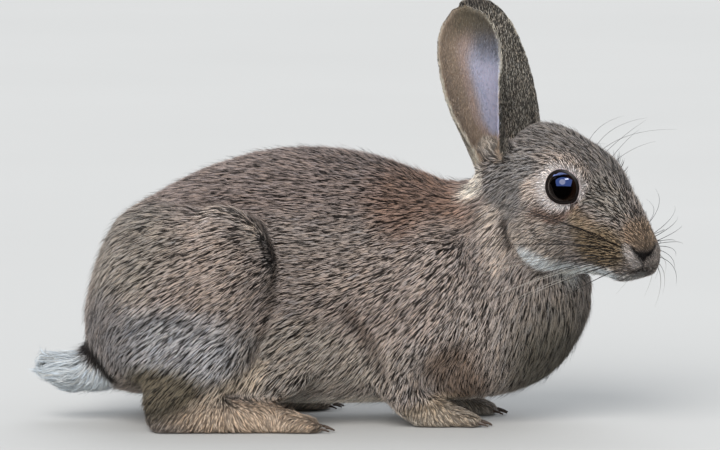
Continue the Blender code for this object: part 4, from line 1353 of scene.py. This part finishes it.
def surround(scene, settings):
    """Soft light from all round, dark from below the horizon."""
    world = bpy.data.worlds.new("studio")
    world.cycles_visibility.glossy = False
    scene.world = world
    world.use_nodes = True
    tree = world.node_tree
    sky = tree.nodes["Background"]
    sky.inputs["Strength"].default_value = settings.world_strength
    where = add_node(tree, "ShaderNodeTexCoord")
    split = add_node(tree, "ShaderNodeSeparateXYZ", links={"Vector": where.outputs["Generated"]})
    above = add_node(
        tree, "ShaderNodeMapRange", {"From Min": -0.12, "From Max": -0.02}, {"Value": split.outputs["Z"]}
    )
    both = add_node(
        tree, "ShaderNodeMix",
        {"data_type": "RGBA", 6: colour4("#2b2622"), 7: (*settings.world_colour, 1)},
        {0: above.outputs[0]},
    )
    tree.links.new(both.outputs[2], sky.inputs["Color"])


def hang(light, source, distance):
    """Hangs a light on the way that it shines from, turned to the animal."""
    lamp = bpy.data.objects.new(light.name, light)
    lamp.location = Vector(HEART) + Vector(source).normalized() * distance
    lamp.rotation_mode = "QUATERNION"
    lamp.rotation_quaternion = Vector(source).to_track_quat("Z", "Y")
    bpy.context.scene.collection.objects.link(lamp)
    return lamp


def hang_softboxes(settings):
    """Two broad soft lights: one over the near side and a weaker one over the far side."""
    # Name, where it shines from, how wide it looks, strength, colour.
    lights = (
        ("key_softbox", (-0.76, 0.27, 0.59), 40, settings.key_strength, "#fffcfb"),
        ("far_softbox", (0.66, -0.16, 0.73), 60, settings.fill_strength, "#f4f7ff"),
    )
    for name, source, width, strength, colour in lights:
        light = bpy.data.lights.new(name, "SUN")
        light.angle = math.radians(width)
        light.energy = strength
        light.color = linear(colour)
        hang(light, source, 1.0)


def hang_windows(settings):
    """Windows and the bright sky in one of them, for the wet eyes alone."""
    eyes = bpy.data.collections.new("wet_eyes")
    for name in EYES:
        eyes.objects.link(bpy.data.objects[name + "ball"])
    # Name, where it hangs, how far off, width and height, power, colour.
    power = settings.window_power
    windows = (
        ("sky_window", (-0.76, 0.06, 0.65), 1.2, (3.2, 1.5), power, "#6f8fea"),
        ("bright_pane", (-0.48, -0.26, 0.84), 2.0, (0.85, 0.36), power * 0.22, "#f2f5ff"),
        ("far_window", (0.62, -0.10, 0.78), 1.2, (3.2, 1.5), power, "#8fa6ea"),
    )
    for name, source, distance, size, power, colour in windows:
        light = bpy.data.lights.new(name, "AREA")
        light.shape = "RECTANGLE"
        light.size, light.size_y = size
        light.energy = power
        light.color = linear(colour)
        lamp = hang(light, source, distance)
        lamp.visible_diffuse = False
        lamp.light_linking.receiver_collection = eyes


def set_camera(scene, settings):
    """The camera, beside the animal and a little above it."""
    lens = bpy.data.cameras.new("camera")
    lens.sensor_width = 36
    lens.lens = 36 * settings.camera_distance / settings.view_width
    lens.clip_start, lens.clip_end = 0.05, 60
    camera = bpy.data.objects.new("camera", lens)
    back = Vector((-math.cos(settings.camera_height), 0, math.sin(settings.camera_height)))
    camera.location = Vector(AIM) + back * settings.camera_distance
    camera.rotation_mode = "QUATERNION"
    camera.rotation_quaternion = (-back).to_track_quat("-Z", "Y")
    scene.collection.objects.link(camera)
    scene.camera = camera
    scene.view_settings.view_transform = "Standard"


BUILT = {}  # the skin, once it is made, for the steps after it


class RabbitCoatSettings(PropertyGroup):
    """Sizes and colours of the skin and coat."""

    skin_step: FloatProperty(
        name="Skin step", description="Size of the voxels that fuse the skin",
        default=1.15 * MM, min=0.5 * MM, max=3 * MM, unit="LENGTH", precision=5,
    )
    density: FloatProperty(
        name="Density", description="Blades of fur, as a share of the full coat",
        default=1.0, min=0.05, max=1.2,
    )
    length: FloatProperty(
        name="Length", description="Length of the hair, as a share of a summer coat's",
        default=1.0, min=0.3, max=1.5,
    )
    blades_in_lock: FloatProperty(
        name="Blades in a lock", description="How many neighbouring blades lean together",
        default=2.0, min=1, max=30,
    )
    lock_slimness: FloatProperty(
        name="Lock slimness", description="How much longer than wide a lock is", default=6.0, min=1, max=8
    )
    warmth: FloatProperty(
        name="Warm and cool locks", description="How much the locks differ in warmth",
        default=0.03, min=0, max=0.5,
    )
    guard_share: FloatProperty(
        name="Guard locks", description="Share of the locks that are pale guard hair",
        default=0.30, min=0, max=1,
    )
    guard_band: FloatProperty(
        name="Guard band", description="How far down its band a guard hair starts",
        default=0.62, min=0, max=0.9,
    )
    stray: FloatProperty(
        name="Stray hairs", description="Share of the blades that stand clear of the coat",
        default=0.035, min=0, max=0.3,
    )
    pale_band: FloatProperty(
        name="Pale band", description="How much lighter than the coat the pale band of a hair is",
        default=3.85, min=1, max=5,
    )


class RabbitHeadSettings(PropertyGroup):
    """Whiskers and lashes."""

    whiskers: IntProperty(
        name="Whiskers", description="Long whiskers on each side", default=24, min=0, max=60
    )
    whisker_length: FloatProperty(
        name="Whisker length", description="Length of the longest whiskers", default=46 * MM, min=5 * MM,
        max=80 * MM, unit="LENGTH",
    )
    whisker_radius: FloatProperty(
        name="Whisker radius", description="Half thickness of a whisker at its root", default=0.13 * MM,
        min=0.02 * MM, max=0.5 * MM, unit="LENGTH", precision=5,
    )


class RabbitStageSettings(PropertyGroup):
    """Floor, lights and camera."""

    world_colour: FloatVectorProperty(
        name="Surroundings", description="Colour of the light from all round", subtype="COLOR", size=3,
        default=tuple(linear("#e9eef4")), min=0, max=1,
    )
    world_strength: FloatProperty(
        name="Surroundings strength", description="Strength of that light", default=0.75
    )
    key_strength: FloatProperty(
        name="Key strength", description="Strength of the soft light on the camera's side, in W/m2",
        default=2.9,
    )
    fill_strength: FloatProperty(
        name="Fill strength", description="Strength of the soft light on the far side, in W/m2", default=1.1
    )
    window_power: FloatProperty(
        name="Window power", description="Power of the windows that only the wet eyes show",
        default=150.0, unit="POWER",
    )
    camera_height: FloatProperty(
        name="Camera elevation", description="Angle of the camera above level",
        default=math.radians(6), subtype="ANGLE",
    )
    camera_distance: FloatProperty(
        name="Camera distance", description="From the camera to the animal", default=2.6, unit="LENGTH"
    )
    view_width: FloatProperty(
        name="View width", description="Width of the view at the animal", default=0.324, unit="LENGTH"
    )


class RABBIT_OT_skin(Operator):
    """Fuse the flesh nodes into one skin, with its lids, folds and markings"""

    bl_idname = "rabbit.skin"
    bl_label = "Skin"

    def execute(self, context):
        skin = build_skin(context.scene.rabbit_coat)
        skin.skin_normals = skin.normals()
        skin.way = lie_of_coat(skin, skin.skin_normals)
        skin.tint, skin.bare, skin.ticking = painted(skin, skin.skin_normals)
        skin.density = thinned(skin, skin.bare)
        skin.finder = finder(skin.points)
        BUILT["skin"] = skin
        piece = new_piece("skin", skin_mesh(skin))
        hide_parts(*FLESH)
        return {"FINISHED"}


class RABBIT_OT_coat(Operator):
    """Grow the coat over the skin in overlapping tufts"""

    bl_idname = "rabbit.coat"
    bl_label = "Coat"

    def execute(self, context):
        settings, skin = context.scene.rabbit_coat, BUILT["skin"]
        material = fur_material(settings)
        names = piece_names(skin)
        rng = np.random.default_rng(SEED)
        for name in np.unique(names):
            chosen = np.flatnonzero(names == name)
            points, triangles, flats, lays, colours = grow(skin, name, chosen, rng, settings)
            if len(triangles) >= LARGEST_PIECE:
                raise RuntimeError(f"coat piece {name} has {len(triangles)} triangles")
            mesh = triangle_mesh("coat_" + name, points, triangles)
            layer = mesh.uv_layers.new(name="OFBake")
            layer.data.foreach_set("uv", flats[triangles.ravel()].astype(np.float32).ravel())
            paint(mesh, "tint", "FLOAT_COLOR", colours)
            paint(mesh, "lay", "FLOAT_VECTOR", lays)
            mesh.materials.append(material)
            new_piece("coat_" + name, mesh)
        return {"FINISHED"}


class RABBIT_OT_eyes(Operator):
    """Set the eyeballs behind the lids"""

    bl_idname = "rabbit.eyes"
    bl_label = "Eyes"

    def execute(self, context):
        material = eye_material()
        for _, name, middle, axis, nose, crown in eye_frames():
            mesh = eyeball(name + "ball", middle, axis, nose, crown)
            mesh.materials.append(material)
            piece = new_piece(name + "ball", mesh)
            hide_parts(name)
        return {"FINISHED"}


class RABBIT_OT_whiskers(Operator):
    """Set the whiskers and lashes"""

    bl_idname = "rabbit.whiskers"
    bl_label = "Whiskers and lashes"

    def execute(self, context):
        settings, skin = context.scene.rabbit_head, BUILT["skin"]
        rng = np.random.default_rng(SEED + 1)
        hairs = Hairs(skin)
        for side in (-1, 1):
            set_whiskers(hairs, side, settings, rng)
            set_feelers(hairs, side, settings.whisker_radius / MM, rng)
        for _, _, middle, axis, nose, crown in eye_frames():
            set_lashes(hairs, middle, axis, nose, crown, rng)
        points, triangles, shades = hairs.tubes()
        points[:, 2] = np.maximum(points[:, 2], 0.6)
        mesh = triangle_mesh("whiskers", points, triangles)
        paint(mesh, "shade", "FLOAT", shades)
        mesh.materials.append(whisker_material())
        new_piece("whiskers", mesh)
        return {"FINISHED"}


class RABBIT_OT_claws(Operator):
    """Give the claws their horn"""

    bl_idname = "rabbit.claws"
    bl_label = "Claws"

    def execute(self, context):
        material = claw_material()
        for name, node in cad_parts.items():
            if name.startswith("claw"):
                for slot in node.material_slots:
                    slot.material = material
        return {"FINISHED"}


class RABBIT_OT_stage(Operator):
    """Lay the floor and set the lights and the camera"""

    bl_idname = "rabbit.stage"
    bl_label = "Stage"

    def execute(self, context):
        settings, scene = context.scene.rabbit_stage, context.scene
        lay_floor(scene)
        surround(scene, settings)
        hang_softboxes(settings)
        hang_windows(settings)
        set_camera(scene, settings)
        return {"FINISHED"}


class RABBIT_PT_model(Panel):
    """Steps and sizes of the rabbit model"""

    bl_idname = "RABBIT_PT_model"
    bl_label = "Rabbit"
    bl_space_type = "VIEW_3D"
    bl_region_type = "UI"
    bl_category = "Rabbit"

    def draw(self, context):
        layout = self.layout
        for group in (context.scene.rabbit_coat, context.scene.rabbit_head, context.scene.rabbit_stage):
            box = layout.box()
            for key in group.bl_rna.properties.keys():
                if key not in ("rna_type", "name"):
                    box.prop(group, key)
        for step in STEPS:
            layout.operator(step.bl_idname)


STEPS = (
    RABBIT_OT_skin, RABBIT_OT_eyes, RABBIT_OT_coat, RABBIT_OT_whiskers, RABBIT_OT_claws, RABBIT_OT_stage,
)
GROUPS = {
    "rabbit_coat": RabbitCoatSettings, "rabbit_head": RabbitHeadSettings, "rabbit_stage": RabbitStageSettings,
}


def register():
    for item in (*GROUPS.values(), *STEPS, RABBIT_PT_model):
        bpy.utils.register_class(item)
    for name, group in GROUPS.items():
        setattr(bpy.types.Scene, name, PointerProperty(type=group))


def unregister():
    for name in GROUPS:
        delattr(bpy.types.Scene, name)
    for item in reversed((*GROUPS.values(), *STEPS, RABBIT_PT_model)):
        bpy.utils.unregister_class(item)


def main():
    register()
    bpy.ops.rabbit.skin()
    bpy.ops.rabbit.eyes()
    bpy.ops.rabbit.coat()
    bpy.ops.rabbit.whiskers()
    bpy.ops.rabbit.claws()
    bpy.ops.rabbit.stage()


if __name__ == "__main__":
    main()
